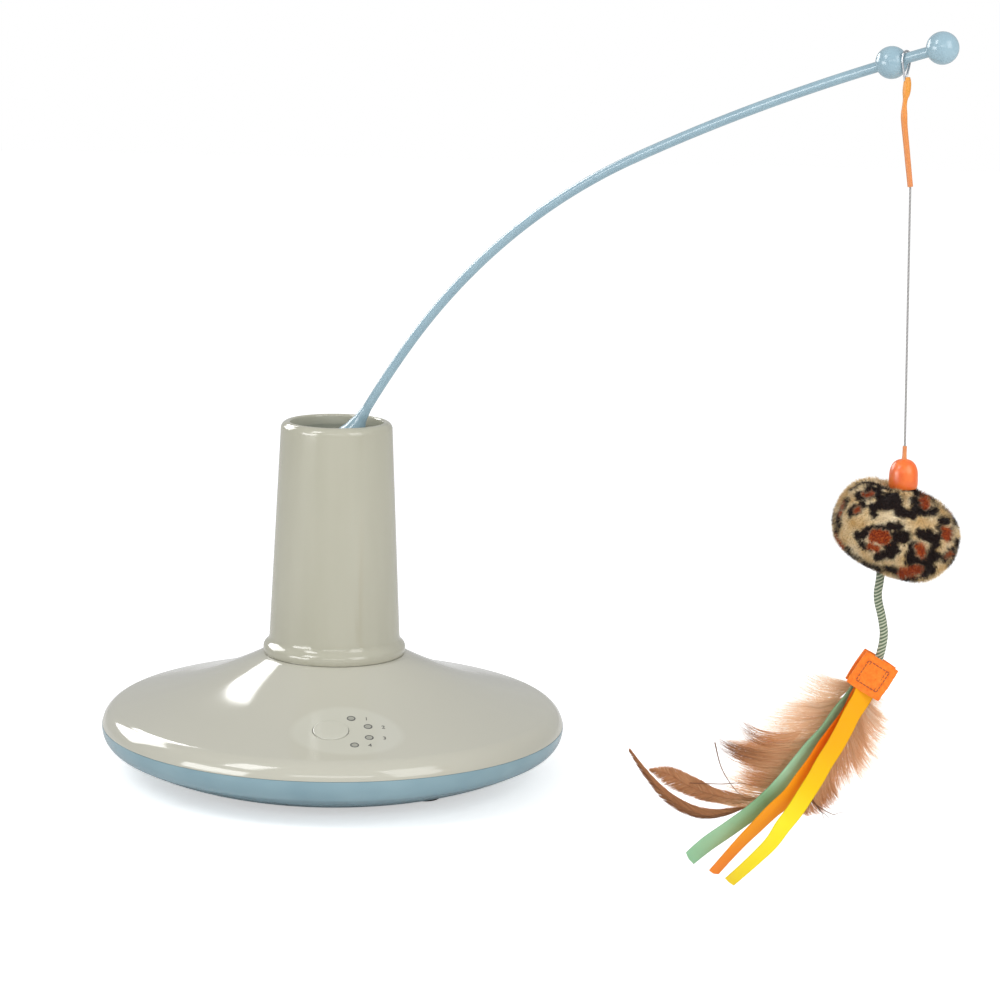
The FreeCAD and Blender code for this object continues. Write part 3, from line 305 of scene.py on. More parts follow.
# Finishes. Pattern scales are repeats a metre, from a size in millimetres
def grained(name, base, rough, size, detail, stops=None, height=None, strength=None, **settings):
    # A plain finish with one fine grain, which tints its colour, lifts its surface, or both
    made, tree, shader, place = finish(name, base, rough, **settings)
    fine = node(tree, "TexNoise", {"Scale": PER_MM / size, "Detail": detail}, {"Vector": place})
    if stops:
        node(tree, "ValToRGB", {"stops": stops}, {"Fac": fine}, shader["Base Color"])
    if height:
        node(tree, "Bump", {"Distance": height * MM, "Strength": strength}, {"Height": fine}, shader["Normal"])
    return made


def shell_abs():
    # Warm grey ABS from a polished mould: glossy, with a faint low wave and a slightly paler oval round the controls
    made, tree, shader, place = finish("polished_warm_grey_abs", "#c3c1b4", 0.09, IOR=1.53)
    centre = node(tree, "Mapping", {"Location": (-0.0125, 0.0905, -0.046)}, {"Vector": place})
    flat = node(tree, "VectorMath", {"operation": "MULTIPLY", 1: (34.0, 44.0, 30.0)}, {0: centre})
    away = node(tree, "VectorMath", {"operation": "LENGTH"}, {0: flat})
    edge = {"From Min": 0.93, "From Max": 1.06, "To Min": 1.0, "To Max": 0.0}
    oval = node(tree, "MapRange", edge, {"Value": away.outputs["Value"]})
    tone = node(tree, "Mix", {"data_type": "RGBA", 6: colour("#c1bfb1"), 7: colour("#c7c6b9")}, {0: oval})
    tree.links.new(tone.outputs[2], shader["Base Color"])
    wave = node(tree, "TexNoise", {"Scale": PER_MM / 26, "Detail": 1.0}, {"Vector": place})
    node(tree, "Bump", {"Distance": 0.05 * MM, "Strength": 0.35}, {"Height": wave}, shader["Normal"])
    return made


def tower_abs():
    # Slightly darker moulding of the same ABS, polished, with a faint vertical flow, a wave in 18 mm
    made, tree, shader, place = finish("polished_tower_abs", "#b6b4a2", 0.1, IOR=1.53)
    long_way = node(tree, "Mapping", {"Scale": (1.0, 1.0, 0.12)}, {"Vector": place})
    flow = node(tree, "TexNoise", {"Scale": 55.0, "Detail": 2.0}, {"Vector": long_way})
    node(tree, "ValToRGB", {"stops": ((0.3, "#b3b19f"), (0.7, "#bab8a7"))}, {"Fac": flow}, shader["Base Color"])
    node(tree, "Bump", {"Distance": 0.04 * MM, "Strength": 0.3}, {"Height": flow}, shader["Normal"])
    return made


def plain_plastic(name, base, rough):
    # Moulded engineering plastic with a fine spark-eroded texture
    made, tree, shader, place = finish(name, base, rough, IOR=1.5)
    fine = node(tree, "TexNoise", {"Scale": PER_MM / 1.2, "Detail": 3.0}, {"Vector": place})
    node(tree, "MapRange", {"To Min": rough - 0.06, "To Max": rough + 0.08}, {"Value": fine}, shader["Roughness"])
    node(tree, "Bump", {"Distance": 0.02 * MM, "Strength": 0.5}, {"Height": fine}, shader["Normal"])
    return made


def plated_steel(name, base, rough):
    # Steel, plated or ground: metallic, with fine turning marks, 0.7 mm apart, as small roughness changes
    made, tree, shader, place = finish(name, base, rough, Metallic=1.0)
    rings = node(tree, "Mapping", {"Scale": (1.0, 1.0, 8.0)}, {"Vector": place})
    marks = node(tree, "TexNoise", {"Scale": 1400.0, "Detail": 2.0}, {"Vector": rings})
    node(tree, "MapRange", {"To Min": rough - 0.07, "To Max": rough + 0.1}, {"Value": marks}, shader["Roughness"])
    node(tree, "Bump", {"Distance": 0.01 * MM, "Strength": 0.3}, {"Height": marks}, shader["Normal"])
    return made


def shrink_sleeve():
    # Orange heat-shrink tube: satin, its colour paler and yellower towards the top
    glow = dict(Subsurface_Weight=0.1, Subsurface_Radius=(0.003, 0.001, 0.0005))
    made, tree, shader, place = finish("orange_heat_shrink", "#d97a44", 0.4, IOR=1.5, **glow)
    up = node(tree, "SeparateXYZ", links={"Vector": place})
    height = node(tree, "MapRange", {"From Min": 0.342, "From Max": 0.392}, {"Value": up.outputs["Z"]})
    stops = ((0.0, "#dc8a50"), (0.6, "#df8b42"), (0.85, "#e8993a"), (1.0, "#ee9f36"))
    node(tree, "ValToRGB", {"stops": stops}, {"Fac": height}, shader["Base Color"])
    wrinkle = node(tree, "TexNoise", {"Scale": PER_MM / 1.6, "Detail": 3.0}, {"Vector": place})
    node(tree, "Bump", {"Distance": 0.12 * MM, "Strength": 0.5}, {"Height": wrinkle}, shader["Normal"])
    return made


def twisted_line():
    # Grey twisted nylon line: the lay of its strands shows as slanted ridges, drawn twice as coarse as real, with
    # painted shade in the grooves and a painted highlight on the ridges
    made, tree, shader, place = finish("twisted_grey_line", "#a3a19f", 0.6, IOR=1.5)
    slant = node(tree, "Mapping", {"Rotation": (0.0, 0.9, 0.0)}, {"Vector": place})
    lay = node(tree, "TexWave", {"Scale": 260.0, "Distortion": 0.6, "bands_direction": "Z"}, {"Vector": slant})
    # The ridges' colour is painted light: darker in the grooves as painted shade, paler on the crests as painted
    # highlight
    tint = {"stops": ((0.2, "#918f8e"), (0.7, "#a8a5a3"))}
    node(tree, "ValToRGB", tint, {"Fac": lay.outputs["Fac"]}, shader["Base Color"])
    node(tree, "Bump", {"Distance": 0.08 * MM, "Strength": 0.7}, {"Height": lay.outputs["Fac"]}, shader["Normal"])
    return made


def braid_fabric():
    # Grey-green braided cord: the strands on the side that shows are slanted ribs, about 1.5 mm a pick, with painted
    # shade between the strands and a painted highlight on their crests
    sheen = dict(Sheen_Weight=0.3, Sheen_Roughness=0.5)
    made, tree, shader, place = finish("braided_green_cord", "#a0a28d", 0.8, IOR=1.45, **sheen)
    slant = node(tree, "Mapping", {"Rotation": (0.0, 0.5, 0.0)}, {"Vector": place})
    ribs = {"Scale": 210.0, "Distortion": 1.4, "Detail": 1.0, "bands_direction": "Z"}
    over = node(tree, "TexWave", ribs, {"Vector": slant})
    fuzz = node(tree, "TexNoise", {"Scale": PER_MM / 0.5, "Detail": 3.0}, {"Vector": place})
    both = node(tree, "Math", {"operation": "MULTIPLY_ADD", 1: 0.35}, {0: fuzz, 2: over.outputs["Fac"]})
    # Colour follows the ribs: painted shade between the strands and painted highlight on their crests, over the
    # fuzz's own mottle
    stops = ((0.35, "#5d6e56"), (0.8, "#93a083"), (1.1, "#c3c5ad"))
    node(tree, "ValToRGB", {"stops": stops}, {"Fac": both}, shader["Base Color"])
    node(tree, "Bump", {"Distance": 0.32 * MM, "Strength": 0.9}, {"Height": both}, shader["Normal"])
    return made


def felt_fabric():
    # Orange craft felt: short matted fibres, matt with a soft edge, darker in the hollows
    sheen = dict(Sheen_Weight=0.12, Sheen_Roughness=0.6)
    made, tree, shader, place = finish("orange_felt", "#ff8420", 0.9, IOR=1.4, **sheen)
    coarse = node(tree, "TexNoise", {"Scale": PER_MM / 1.6, "Detail": 4.0, "Roughness": 0.65}, {"Vector": place})
    stops = ((0.3, "#ee6f14"), (0.55, "#fb8320"), (0.8, "#ff9634"))
    node(tree, "ValToRGB", {"stops": stops}, {"Fac": coarse}, shader["Base Color"])
    fine = node(tree, "TexNoise", {"Scale": PER_MM / 0.35, "Detail": 4.0, "Roughness": 0.7}, {"Vector": place})
    node(tree, "Bump", {"Distance": 0.25 * MM, "Strength": 0.7}, {"Height": fine}, shader["Normal"])
    return made


def satin(name, stops):
    # Satin ribbon: a lengthwise sheen, a darker woven edge, and a colour along its length from the stops: the
    # ribbon's own dye gradient, with painted highlight bands where it turns to the light
    made, tree, shader, _ = finish(name, stops[0][1], 0.42, IOR=1.45, Anisotropic=0.4, Specular_IOR_Level=0.25)
    cloth = node(tree, "TexCoord").outputs["UV"]
    uv = node(tree, "SeparateXYZ", links={"Vector": cloth})
    tint = node(tree, "ValToRGB", {"stops": stops}, {"Fac": uv.outputs["Y"]})
    edge = node(tree, "Math", {"operation": "PINGPONG", 1: 0.5}, {0: uv.outputs["X"]})
    hem = node(tree, "MapRange", {"From Min": 0.0, "From Max": 0.06, "To Min": 0.72, "To Max": 1.0}, {"Value": edge})
    node(tree, "VectorMath", {"operation": "SCALE"}, {0: tint, "Scale": hem}, shader["Base Color"])
    weave = node(tree, "Mapping", {"Scale": (30.0, 330.0, 1.0)}, {"Vector": cloth})
    threads = node(tree, "TexWave", {"Scale": 1.0, "Distortion": 0.4, "bands_direction": "Y"}, {"Vector": weave})
    node(tree, "Bump", {"Distance": 0.05 * MM, "Strength": 0.4}, {"Height": threads.outputs["Fac"]}, shader["Normal"])
    return made


def plush_print():
    # Short-pile plush printed with leopard spots: the print comes from the two attributes set on the mesh
    sheen = dict(Sheen_Weight=0.14, Sheen_Roughness=0.4)
    made, tree, shader, place = finish("printed_leopard_plush", "#dcc598", 0.95, IOR=1.35, **sheen)
    dark = node(tree, "Attribute", {"attribute_name": "dark"})
    rust = node(tree, "Attribute", {"attribute_name": "rust"})
    patch = node(tree, "TexNoise", {"Scale": PER_MM / 9, "Detail": 3.0}, {"Vector": place})
    fine = node(tree, "TexNoise", {"Scale": PER_MM / 0.7, "Detail": 3.0}, {"Vector": place})
    stops = ((0.3, "#f6e9cd"), (0.5, "#efdab0"), (0.72, "#dab679"))
    ground = node(tree, "ValToRGB", {"stops": stops}, {"Fac": patch})
    stops = ((0.35, "#8f7250"), (0.5, "#e6dccb"), (0.68, "#ffffff"))
    streak = node(tree, "ValToRGB", {"stops": stops}, {"Fac": fine})
    pale = node(tree, "Mix", {"data_type": "RGBA", "blend_type": "MULTIPLY", 0: 0.6}, {6: ground, 7: streak})
    stops = ((0.3, "#5a1a06"), (0.5, "#9c3a12"), (0.72, "#d8742e"))
    warm = node(tree, "ValToRGB", {"stops": stops}, {"Fac": fine})
    black = node(tree, "ValToRGB", {"stops": ((0.3, "#070303"), (0.72, "#27120a"))}, {"Fac": fine})
    one = node(tree, "Mix", {"data_type": "RGBA"}, {0: rust.outputs["Fac"], 6: pale.outputs[2], 7: warm})
    two = node(tree, "Mix", {"data_type": "RGBA"}, {0: dark.outputs["Fac"], 6: one.outputs[2], 7: black})
    tree.links.new(two.outputs[2], shader["Base Color"])
    node(tree, "Bump", {"Distance": 0.4 * MM, "Strength": 0.6}, {"Height": fine}, shader["Normal"])
    return made


def feather_fibre():
    # Feather barbs: keratin fibres, pale at the down, tan in the vane and brown at the tips, by the tone attribute
    sheen = dict(Sheen_Weight=0.25, Sheen_Roughness=0.5)
    made, tree, shader, place = finish("feather_barbs", "#c1905f", 0.7, IOR=1.5, **sheen)
    tone = node(tree, "Attribute", {"attribute_name": "tone"})
    stops = ((0.0, "#fff9f0"), (0.25, "#fae2c6"), (0.5, "#f2ca9e"), (0.75, "#d49a68"), (1.0, "#784628"))
    tint = node(tree, "ValToRGB", {"stops": stops}, {"Fac": tone.outputs["Fac"]}, shader["Base Color"])
    glow = node(tree, "BsdfTranslucent", links={"Color": tint})
    surface = {1: tree.nodes["Principled BSDF"], 2: glow}
    node(tree, "MixShader", {"Fac": 0.45}, surface, tree.nodes["Material Output"].inputs["Surface"])
    lay = node(tree, "TexNoise", {"Scale": PER_MM / 0.6, "Detail": 2.0}, {"Vector": place})
    node(tree, "Bump", {"Distance": 0.05 * MM, "Strength": 0.4}, {"Height": lay}, shader["Normal"])
    return made


def board_laminate():
    # Green solder resist over glass laminate, with the weave and copper tracks faintly showing, in cells of
    # about 3 mm
    made, tree, shader, place = finish("green_board_laminate", "#1f5a37", 0.4, IOR=1.5)
    greens = {"Color1": colour("#1f5a37"), "Color2": colour("#25663f"), "Mortar": colour("#2f7a4c")}
    tracks = node(tree, "TexBrick", {"Scale": 180.0, **greens}, {"Vector": place}, shader["Base Color"])
    node(tree, "Bump", {"Distance": 0.03 * MM, "Strength": 0.5}, {"Height": tracks.outputs["Fac"]}, shader["Normal"])
    return made


SHELL = shell_abs()
TOWER = tower_abs()
# Blue-grey ABS, polished like the upper shell
BOWL = grained("polished_blue_abs", "#86a3ae", 0.11, 22, 1.0, ((0.3, "#82a0ab"), (0.7, "#8ba8b2")), 0.04, 0.3,
               IOR=1.53)
# Pale blue flexible plastic straight from a polished mould: an even gloss, its colour hardly varying
WAND = grained("moulded_pale_blue_plastic", "#98b4c0", 0.17, 9, 1.0, ((0.3, "#95b1be"), (0.7, "#9cb8c4")), IOR=1.5)
# Translucent orange polystyrene bead: a soft gloss, and light spreads inside it
BEAD = grained("orange_bead_plastic", "#f4702a", 0.3, 4, 2.0, ((0.3, "#f06a26"), (0.7, "#fa8136")), 0.03, 0.4,
               IOR=1.55, Subsurface_Weight=0.35, Subsurface_Radius=(0.006, 0.002, 0.0006))
# Black elastomer foot, matt, with a fine sandy surface
RUBBER = grained("black_foot_rubber", "#232325", 0.75, 0.8, 3.0, None, 0.05, 0.7, IOR=1.5)
SLEEVE = shrink_sleeve()
LINE = twisted_line()
BRAID = braid_fabric()
FELT = felt_fabric()
# Dark orange sewing thread, a little fuzzy
THREAD = grained("orange_sewing_thread", "#a8480e", 0.6, 0.3, 2.0, None, 0.05, 0.5, Sheen_Weight=0.2)
PLUSH = plush_print()
BARBS = feather_fibre()
# Dark grey pad print, slightly worn
INK = grained("dark_pad_print", "#4b4c4a", 0.45, 0.5, 2.0, ((0.3, "#3e3f3e"), (0.8, "#6a6b68")))
# Clear light pipe that takes the shell's grey, glossy
LENS = grained("clear_light_pipe", "#c6c6ba", 0.08, 1.5, 2.0, None, 0.02, 0.3, IOR=1.49, Transmission_Weight=0.35)
STEEL = plated_steel("zinc_plated_steel", "#b9bcc0", 0.32)
SHAFT_STEEL = plated_steel("ground_shaft_steel", "#c4c6c9", 0.2)
# Ribbon colours along the length, from the felt tab down: the dyed gradients, and in the green two paler bands, at
# about a half and five sixths of its length, that are painted highlights
YELLOW = satin("yellow_satin", (
    (0.0, "#fbaa00"), (0.3, "#fdb400"), (0.5, "#fecc00"), (0.68, "#fff024"), (0.85, "#ffe914"), (1.0, "#f6d41c")))
ORANGE = satin("orange_satin", (
    (0.0, "#f4760c"), (0.3, "#ff7e0e"), (0.55, "#ffa418"), (0.8, "#ffa618"), (1.0, "#ff8c10")))
GREEN = satin("green_satin", (
    (0.0, "#93b48a"), (0.3, "#94bf94"), (0.52, "#acd8b2"), (0.66, "#88ba8c"), (0.85, "#a8dab2"), (1.0, "#96cca2")))


def dress_cad_nodes():
    acetal = plain_plastic("natural_acetal", "#e6e3d4", 0.35)
    black = plain_plastic("black_frame_abs", "#2e3032", 0.5)
    jacket = plain_plastic("plain_cell_jacket", "#41464d", 0.28)
    motor = plated_steel("drawn_motor_case", "#a9abad", 0.35)
    table = {
        BOWL: ("lower_shell", "battery_door"),
        RUBBER: ("rubber_feet",),
        STEEL: ("shell_screws", "tower_screws", "post_screws", "board_screws", "door_screw", "shaft_clip",
                "battery_contacts"),
        SHAFT_STEEL: ("drive_shaft", "motor_shaft", "first_gear_pin", "second_gear_pin"),
        motor: ("motor_can",),
        jacket: ("battery_cells",),
        acetal: ("output_gear", "second_gear", "first_gear", "motor_pinion", "tower_bush"),
        black: ("gear_frame_lower", "gear_frame_upper", "tact_switch", "switch_plunger"),
        board_laminate(): ("circuit_board",),
    }
    for material, names in table.items():
        for name in names:
            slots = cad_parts[name].data.materials
            slots.clear()
            slots.append(material)


# Base
def dome_profile(inset, count):
    rim_c = BASE_R - TOP_RIM_R
    rim_r = TOP_RIM_R - inset
    start = math.degrees(math.acos((SEAM_Z + SEAM_GAP - RIM_Z) / rim_r))
    rim = sweep(rim_c, RIM_Z, rim_r, start, SHOULDER_DEG, count)
    lean = math.radians(SHOULDER_DEG)
    outer_x, outer_z = sweep(rim_c, RIM_Z, TOP_RIM_R, SHOULDER_DEG, SHOULDER_DEG, 1)[0]
    shoulder_z = outer_z + (outer_x - SHOULDER_R) * math.tan(lean)
    centre_x = SHOULDER_R + SADDLE_R * math.sin(lean)
    centre_z = shoulder_z + SADDLE_R * math.cos(lean)
    big = SADDLE_R + inset
    end_x = COLLAR_R - inset
    start_x = SHOULDER_R - inset * math.sin(lean)
    steps = [start_x + (end_x - start_x) * i / count for i in range(count + 1)]
    saddle = [(x, centre_z - math.sqrt(big ** 2 - (centre_x - x) ** 2)) for x in steps]
    last_x, last_z = rim[-1]
    first_x, first_z = saddle[0]
    slope = [(last_x + (first_x - last_x) * i / 5, last_z + (first_z - last_z) * i / 5) for i in range(1, 5)]
    return rim + slope + saddle


def upper_shell():
    # The dome turned whole, then drilled for the button and the four light windows
    outer = dome_profile(0, 26)
    inner = dome_profile(WALL, 12)
    top_x, top_z = outer[-1]
    low_z = inner[-1][1]
    collar = [(top_x - 0.5, top_z + 0.05), (COLLAR_HOLE_R, top_z + 0.05), (COLLAR_HOLE_R, low_z)]
    made = piece("upper_shell", turned(outer + collar + inner[::-1]), "base", SHELL, ["dome_shell"])
    holes = [drill(BUTTON_R + 0.3, 30, BUTTON_O, BUTTON_W, -15)]
    for x, y in LENS_SPOTS:
        holes.append(drill(LENS_R + 0.1, 16, Vector((x, y, shell_height(math.hypot(x, y)))), PANEL_W, -10))
    cut(made, holes)


def shell_height(r):
    # Height of the dome's outside at a radius
    line = dome_profile(0, 60)
    for (x0, z0), (x1, z1) in zip(line, line[1:]):
        if x1 <= r <= x0:
            return z0 + (z1 - z0) * (x0 - r) / (x0 - x1)
    return line[-1][1]


def lower_skin():
    # A thin smooth skin over the lower shell's outside, drilled for the four screw wells
    rim_c = BASE_R - BOWL_RIM_R
    r = BOWL_RIM_R + SKIN_PROUD
    turn = 180 - BOWL_DEG
    rim = sweep(rim_c, RIM_Z, r, 90, turn, 20)
    low_x, low_z = sweep(rim_c, RIM_Z, BOWL_RIM_R, turn, turn, 1)[0]
    centre_x = low_x - BOWL_R * math.sin(math.radians(BOWL_DEG))
    centre_z = low_z + BOWL_R * math.cos(math.radians(BOWL_DEG))
    big = BOWL_R + SKIN_PROUD
    end_x = centre_x + math.sqrt(big ** 2 - (centre_z - BOTTOM_Z) ** 2)
    first = rim[-1][0]
    belly = []
    for i in range(1, 25):
        x = first + (end_x - first) * i / 24
        belly.append((x, centre_z - math.sqrt(big ** 2 - (x - centre_x) ** 2)))
    outer = [(BASE_R + SKIN_PROUD, SEAM_Z - SEAM_GAP)] + rim + belly
    inner = [(x - SKIN_T * (x / BASE_R), z + SKIN_T * 0.8) for x, z in outer[1:-1]][::-1]
    back = [(end_x, BOTTOM_Z + SKIN_T)] + inner + [(BASE_R - SKIN_T, SEAM_Z - SEAM_GAP)]
    made = piece("lower_shell_skin", turned(outer + back), "base", BOWL)
    wells = []
    for i in range(4):
        a = math.radians(45 + 90 * i)
        spot = Vector((SCREW_RING_R * math.cos(a), SCREW_RING_R * math.sin(a), 0))
        wells.append(drill(SCREW_WELL_R, 14, spot, UP, 0))
    cut(made, wells)


def pressed_button():
    r = BUTTON_R
    h = BUTTON_PROUD
    crown = [(0, h + 0.12), (r * 0.5, h + 0.1), (r * 0.85, h + 0.03)]
    edge = sweep(r - 0.6, h - 0.6, 0.6, 10, 90, 6)
    skirt = [(r, -2.8), (r + 1.6, -2.8), (r + 1.6, -4.0), (2.0, -4.0), (2.0, -7.2), (0, -7.2)]
    bm = turned(crown + edge + skirt, 96, False)
    bmesh.ops.transform(bm, matrix=aimed(BUTTON_O, BUTTON_W), verts=bm.verts)
    piece("mode_button_cap", bm, "button", SHELL, ["mode_button"])


def light_windows():
    for i, (x, y) in enumerate(LENS_SPOTS):
        top = Vector((x, y, shell_height(math.hypot(x, y))))
        dome = [(0, 0.12)] + sweep(LENS_R - 0.35, -0.25, 0.35, 0, 90, 5) + [(LENS_R, -5.8), (0, -5.8)]
        lens = turned(dome, 48, False)
        bmesh.ops.transform(lens, matrix=aimed(top, PANEL_W), verts=lens.verts)
        piece("light_window_%d" % (i + 1), lens, "base", LENS, ["indicator_lens_%d" % (i + 1)])
        rim = [(LENS_R - 0.42, 0.1), (LENS_R - 0.3, 0.17), (LENS_R + 0.1, 0.16), (LENS_R + 0.22, 0.06),
               (LENS_R, -0.4), (LENS_R - 0.4, -0.3)]
        ring = turned(rim, 48)
        bmesh.ops.transform(ring, matrix=aimed(top, PANEL_W), verts=ring.verts)
        piece("window_ring_%d" % (i + 1), ring, "base", INK)
        number(str(i + 1), top)


def number(text, window):
    data = bpy.data.curves.new("number_" + text, "FONT")
    data.body = text
    data.size = NUMBER_H * MM
    data.extrude = 0.04 * MM
    data.align_x = "CENTER"
    data.align_y = "CENTER"
    made = placed("number_" + text, data)
    graph = bpy.context.evaluated_depsgraph_get()
    mesh = bpy.data.meshes.new_from_object(made.evaluated_get(graph))
    bpy.data.objects.remove(made)
    spot = window + PANEL_U * NUMBER_SHIFT
    spot.z = shell_height(math.hypot(spot.x, spot.y))
    v = PANEL_W.cross(PANEL_U)
    turn = Matrix((PANEL_U, v, PANEL_W)).transposed().to_4x4()
    mesh.transform(Matrix.Translation((spot + PANEL_W * 0.04) * MM) @ turn)
    mesh.materials.append(INK)
    made = placed("number_" + text, mesh)
    dress(made, "base")


# Tower
def tower():
    z0 = COLLAR_Z
    neck_r = TOWER_LOW_R
    ridge = TOWER_TOP_R - LIP_R
    lip_z = TOWER_H - LIP_R
    wall_r = TOWER_TOP_R - TOWER_WALL
    small = ridge - MOUTH_R
    bulge = [(BEAD_R, z0 + 0.45), (BEAD_R + 0.28, z0 + 1.2), (BEAD_R + 0.45, z0 + 2.2), (BEAD_R + 0.5, z0 + 3.1),
             (BEAD_R + 0.38, z0 + 4.1), (BEAD_R + 0.05, z0 + 5.0), (BEAD_R - 0.5, z0 + 5.8), (BEAD_R - 1.2, z0 + 6.5),
             (BEAD_R - 1.9, z0 + 7.3), (BEAD_R - 2.45, z0 + 8.2), (neck_r, z0 + BEAD_H + 0.6)]
    steps = 24
    wall_low = z0 + BEAD_H + 0.6
    wall = [(neck_r + (TOWER_TOP_R - neck_r) * i / steps, wall_low + (lip_z - wall_low) * i / steps)
            for i in range(1, steps)]
    lip = sweep(ridge, lip_z, LIP_R, 90, 0, 14)
    mouth = [(ridge - small * 0.55, TOWER_H - small * 0.12), (ridge - small * 0.88, TOWER_H - small * 0.45),
             (MOUTH_R, TOWER_H - small * 1.1), (MOUTH_R, TOWER_H - 5), (MOUTH_R + 0.4, TOWER_H - 6),
             (wall_r, TOWER_H - 9.5)]
    inner = [(wall_r, 120.0), (neck_r - TOWER_WALL, 116.0), (neck_r - TOWER_WALL, z0 + 0.05)]
    foot = [(BEAD_R - 0.8, z0 + 0.05), (BEAD_R - 0.8, z0 + 0.4)]
    profile = foot + bulge + wall + lip + mouth + inner
    piece("tower_tube", turned(profile), "base", TOWER, ["tower_shell"])
    web = [(4.6, 152.4), (wall_r + 0.5, 152.4), (wall_r + 0.5, 150.0), (7.0, 150.0), (7.0, 147.0), (4.6, 147.0)]
    piece("bearing_web", turned(web, 96), "base", TOWER)


# Wand
AWAY = Vector((math.cos(math.radians(WAND_AZIMUTH)), math.sin(math.radians(WAND_AZIMUTH)), 0))
SIDE = Vector((-AWAY.y, AWAY.x, 0))
WAND_END = WAND_STRAIGHT + sum(run for _, run in WAND_ARCS)


def wand_at(length):
    # Place and direction on the wand's middle line, at a length from its root
    heading = math.radians(WAND_LEAN)
    s = min(length, WAND_STRAIGHT)
    p = UP * WAND_ROOT_Z + (AWAY * math.cos(heading) + UP * math.sin(heading)) * s
    left = length - s
    for r, run in WAND_ARCS:
        part = min(left, run)
        new = heading - part / r
        p = p + AWAY * (r * (math.sin(heading) - math.sin(new))) + UP * (r * (math.cos(new) - math.cos(heading)))
        heading = new
        left -= part
    return p, AWAY * math.cos(heading) + UP * math.sin(heading)


def smooth_between(table, at):
    # Values between two rows of a table, eased half way
    for (a, *low), (b, *high) in zip(table, table[1:]):
        if at <= b:
            t = max(0.0, (at - a) / (b - a))
            t = t * t * (3 - 2 * t) * 0.5 + t * 0.5
            return [p + (q - p) * t for p, q in zip(low, high)]
    return list(table[-1][1:])


def wand():
    bm = bmesh.new()
    rings = []
    lean = math.radians(90 - WAND_LEAN)
    stations = [FLARE[0][0] + FLARE_STEP * i for i in range(FLARE_STEPS)]
    stations += [stations[-1] + (WAND_END - stations[-1]) * i / ROD_STEPS for i in range(1, ROD_STEPS + 1)]
    around = [2 * math.pi * i / ROD_SIDES for i in range(ROD_SIDES)]
    for length in stations:
        p, along = wand_at(length)
        r, share = smooth_between(FLARE, length)
        axis = along
        if length < FLARE[-1][0]:
            axis = AWAY * math.sin(lean * share) + UP * math.cos(lean * share)
        up = axis.cross(SIDE).normalized()
        rings.append([bm.verts.new(p + (SIDE * math.cos(a) + up * math.sin(a)) * r) for a in around])
    for low, high in zip(rings, rings[1:]):
        for i in range(ROD_SIDES):
            bm.faces.new((low[i - 1], low[i], high[i], high[i - 1]))
    bm.faces.new(rings[0])
    bm.faces.new(rings[-1])
    bmesh.ops.recalc_face_normals(bm, faces=bm.faces)
    piece("wand_rod", bm, "rotor", WAND, ["wand"])
    skirt = HUB_Z + 4.5
    dish = [(0, skirt + 9.0), (6, skirt + 8.5), (12, skirt + 6.9), (17, skirt + 4.6), (21, skirt + 2.2),
            (HUB_R - 0.4, skirt + 0.4), (HUB_R, skirt - 0.2), (HUB_R, HUB_Z), (6.5, HUB_Z), (6.5, 160.3),
            (2.6, 160.3), (2.6, 172.0), (0, 172.0)]
    piece("wand_dish", turned(dish, 96, False), "rotor", WAND)
    for name, at in (("stop_ball", WAND_END - BALL_PITCH), ("tip_ball", WAND_END)):
        ball = bmesh.new()
        bmesh.ops.create_icosphere(ball, subdivisions=5, radius=BALL_R, matrix=Matrix.Translation(wand_at(at)[0]))
        piece(name, ball, "rotor", WAND, smooth_deg=180)


# Cords: each is a NURBS curve through the route's control points, which sit in the row frame
def cord_curve(name, points, radius, material, order=3, radii=None):
    data = bpy.data.curves.new(name, "CURVE")
    data.dimensions = "3D"
    data.bevel_depth = radius * MM
    data.bevel_resolution = 6
    data.resolution_u = 24
    data.use_fill_caps = True
    spline = data.splines.new("NURBS")
    spline.points.add(len(points) - 1)
    for i, p in enumerate(points):
        spline.points[i].co = (*(Vector(p) * MM), 1.0)
        spline.points[i].radius = radii[i] if radii else 1.0
    spline.order_u = order
    spline.use_endpoint_u = True
    data.materials.append(material)
    made = placed(name, data)
    return made


def lure_top():
    r = WAND_R / math.cos(math.radians(16)) + 0.3 + WIRE_R
    drop = Vector((0, 0, -LOOP_DROP))
    down = -UP
    left = LOOP_P - SIDE * r
    right = LOOP_P + SIDE * r
    route = [LOOP_P - SIDE * 0.6 + drop * 1.25, LOOP_P - SIDE * 1.1 + drop * 0.9, left + down * 3.4,
             left + down * 0.4, left - down * r * 0.72, LOOP_P - down * (r + 0.35), right - down * r * 0.72,
             right + down * 0.4, right + down * 3.4, LOOP_P + SIDE * 1.1 + drop * 0.9,
             LOOP_P + SIDE * 0.6 + drop * 1.25]
    loop = cord_curve("wire_loop_bend", route, WIRE_R, SHAFT_STEEL, 4)
    dress(loop, "loop", ["wire_loop"])
    top = LOOP_P + Vector((0, 0, -LOOP_DROP - 0.3))
    # The sleeve's middle line and half width down its length: two bulges over the wire's ends, then plain
    route = [(top.x + 0.9, 0.0, 1.2), (top.x + 1.0, 1.6, 1.7), (top.x + 0.9, 4.5, 1.95), (top.x + 0.7, 7.8, 1.8),
             (top.x + 0.4, 9.6, 1.1), (top.x + 0.1, 13.0, 1.05), (top.x + 0.1, 17.0, 1.6),
             (top.x + 0.5, 22.0, 1.4), (top.x + 1.7, 30.0, 1.38), (top.x + 3.1, 40.0, 1.34),
             (275.0, SLEEVE_L, 1.3)]
    points = [(x, HANG_Y, top.z - d) for x, d, _ in route]
    sleeve = cord_curve("shrink_sleeve", points, 1.0, SLEEVE, 3, [r for _, _, r in route])
    dress(sleeve, "loop", ["loop_sleeve"])


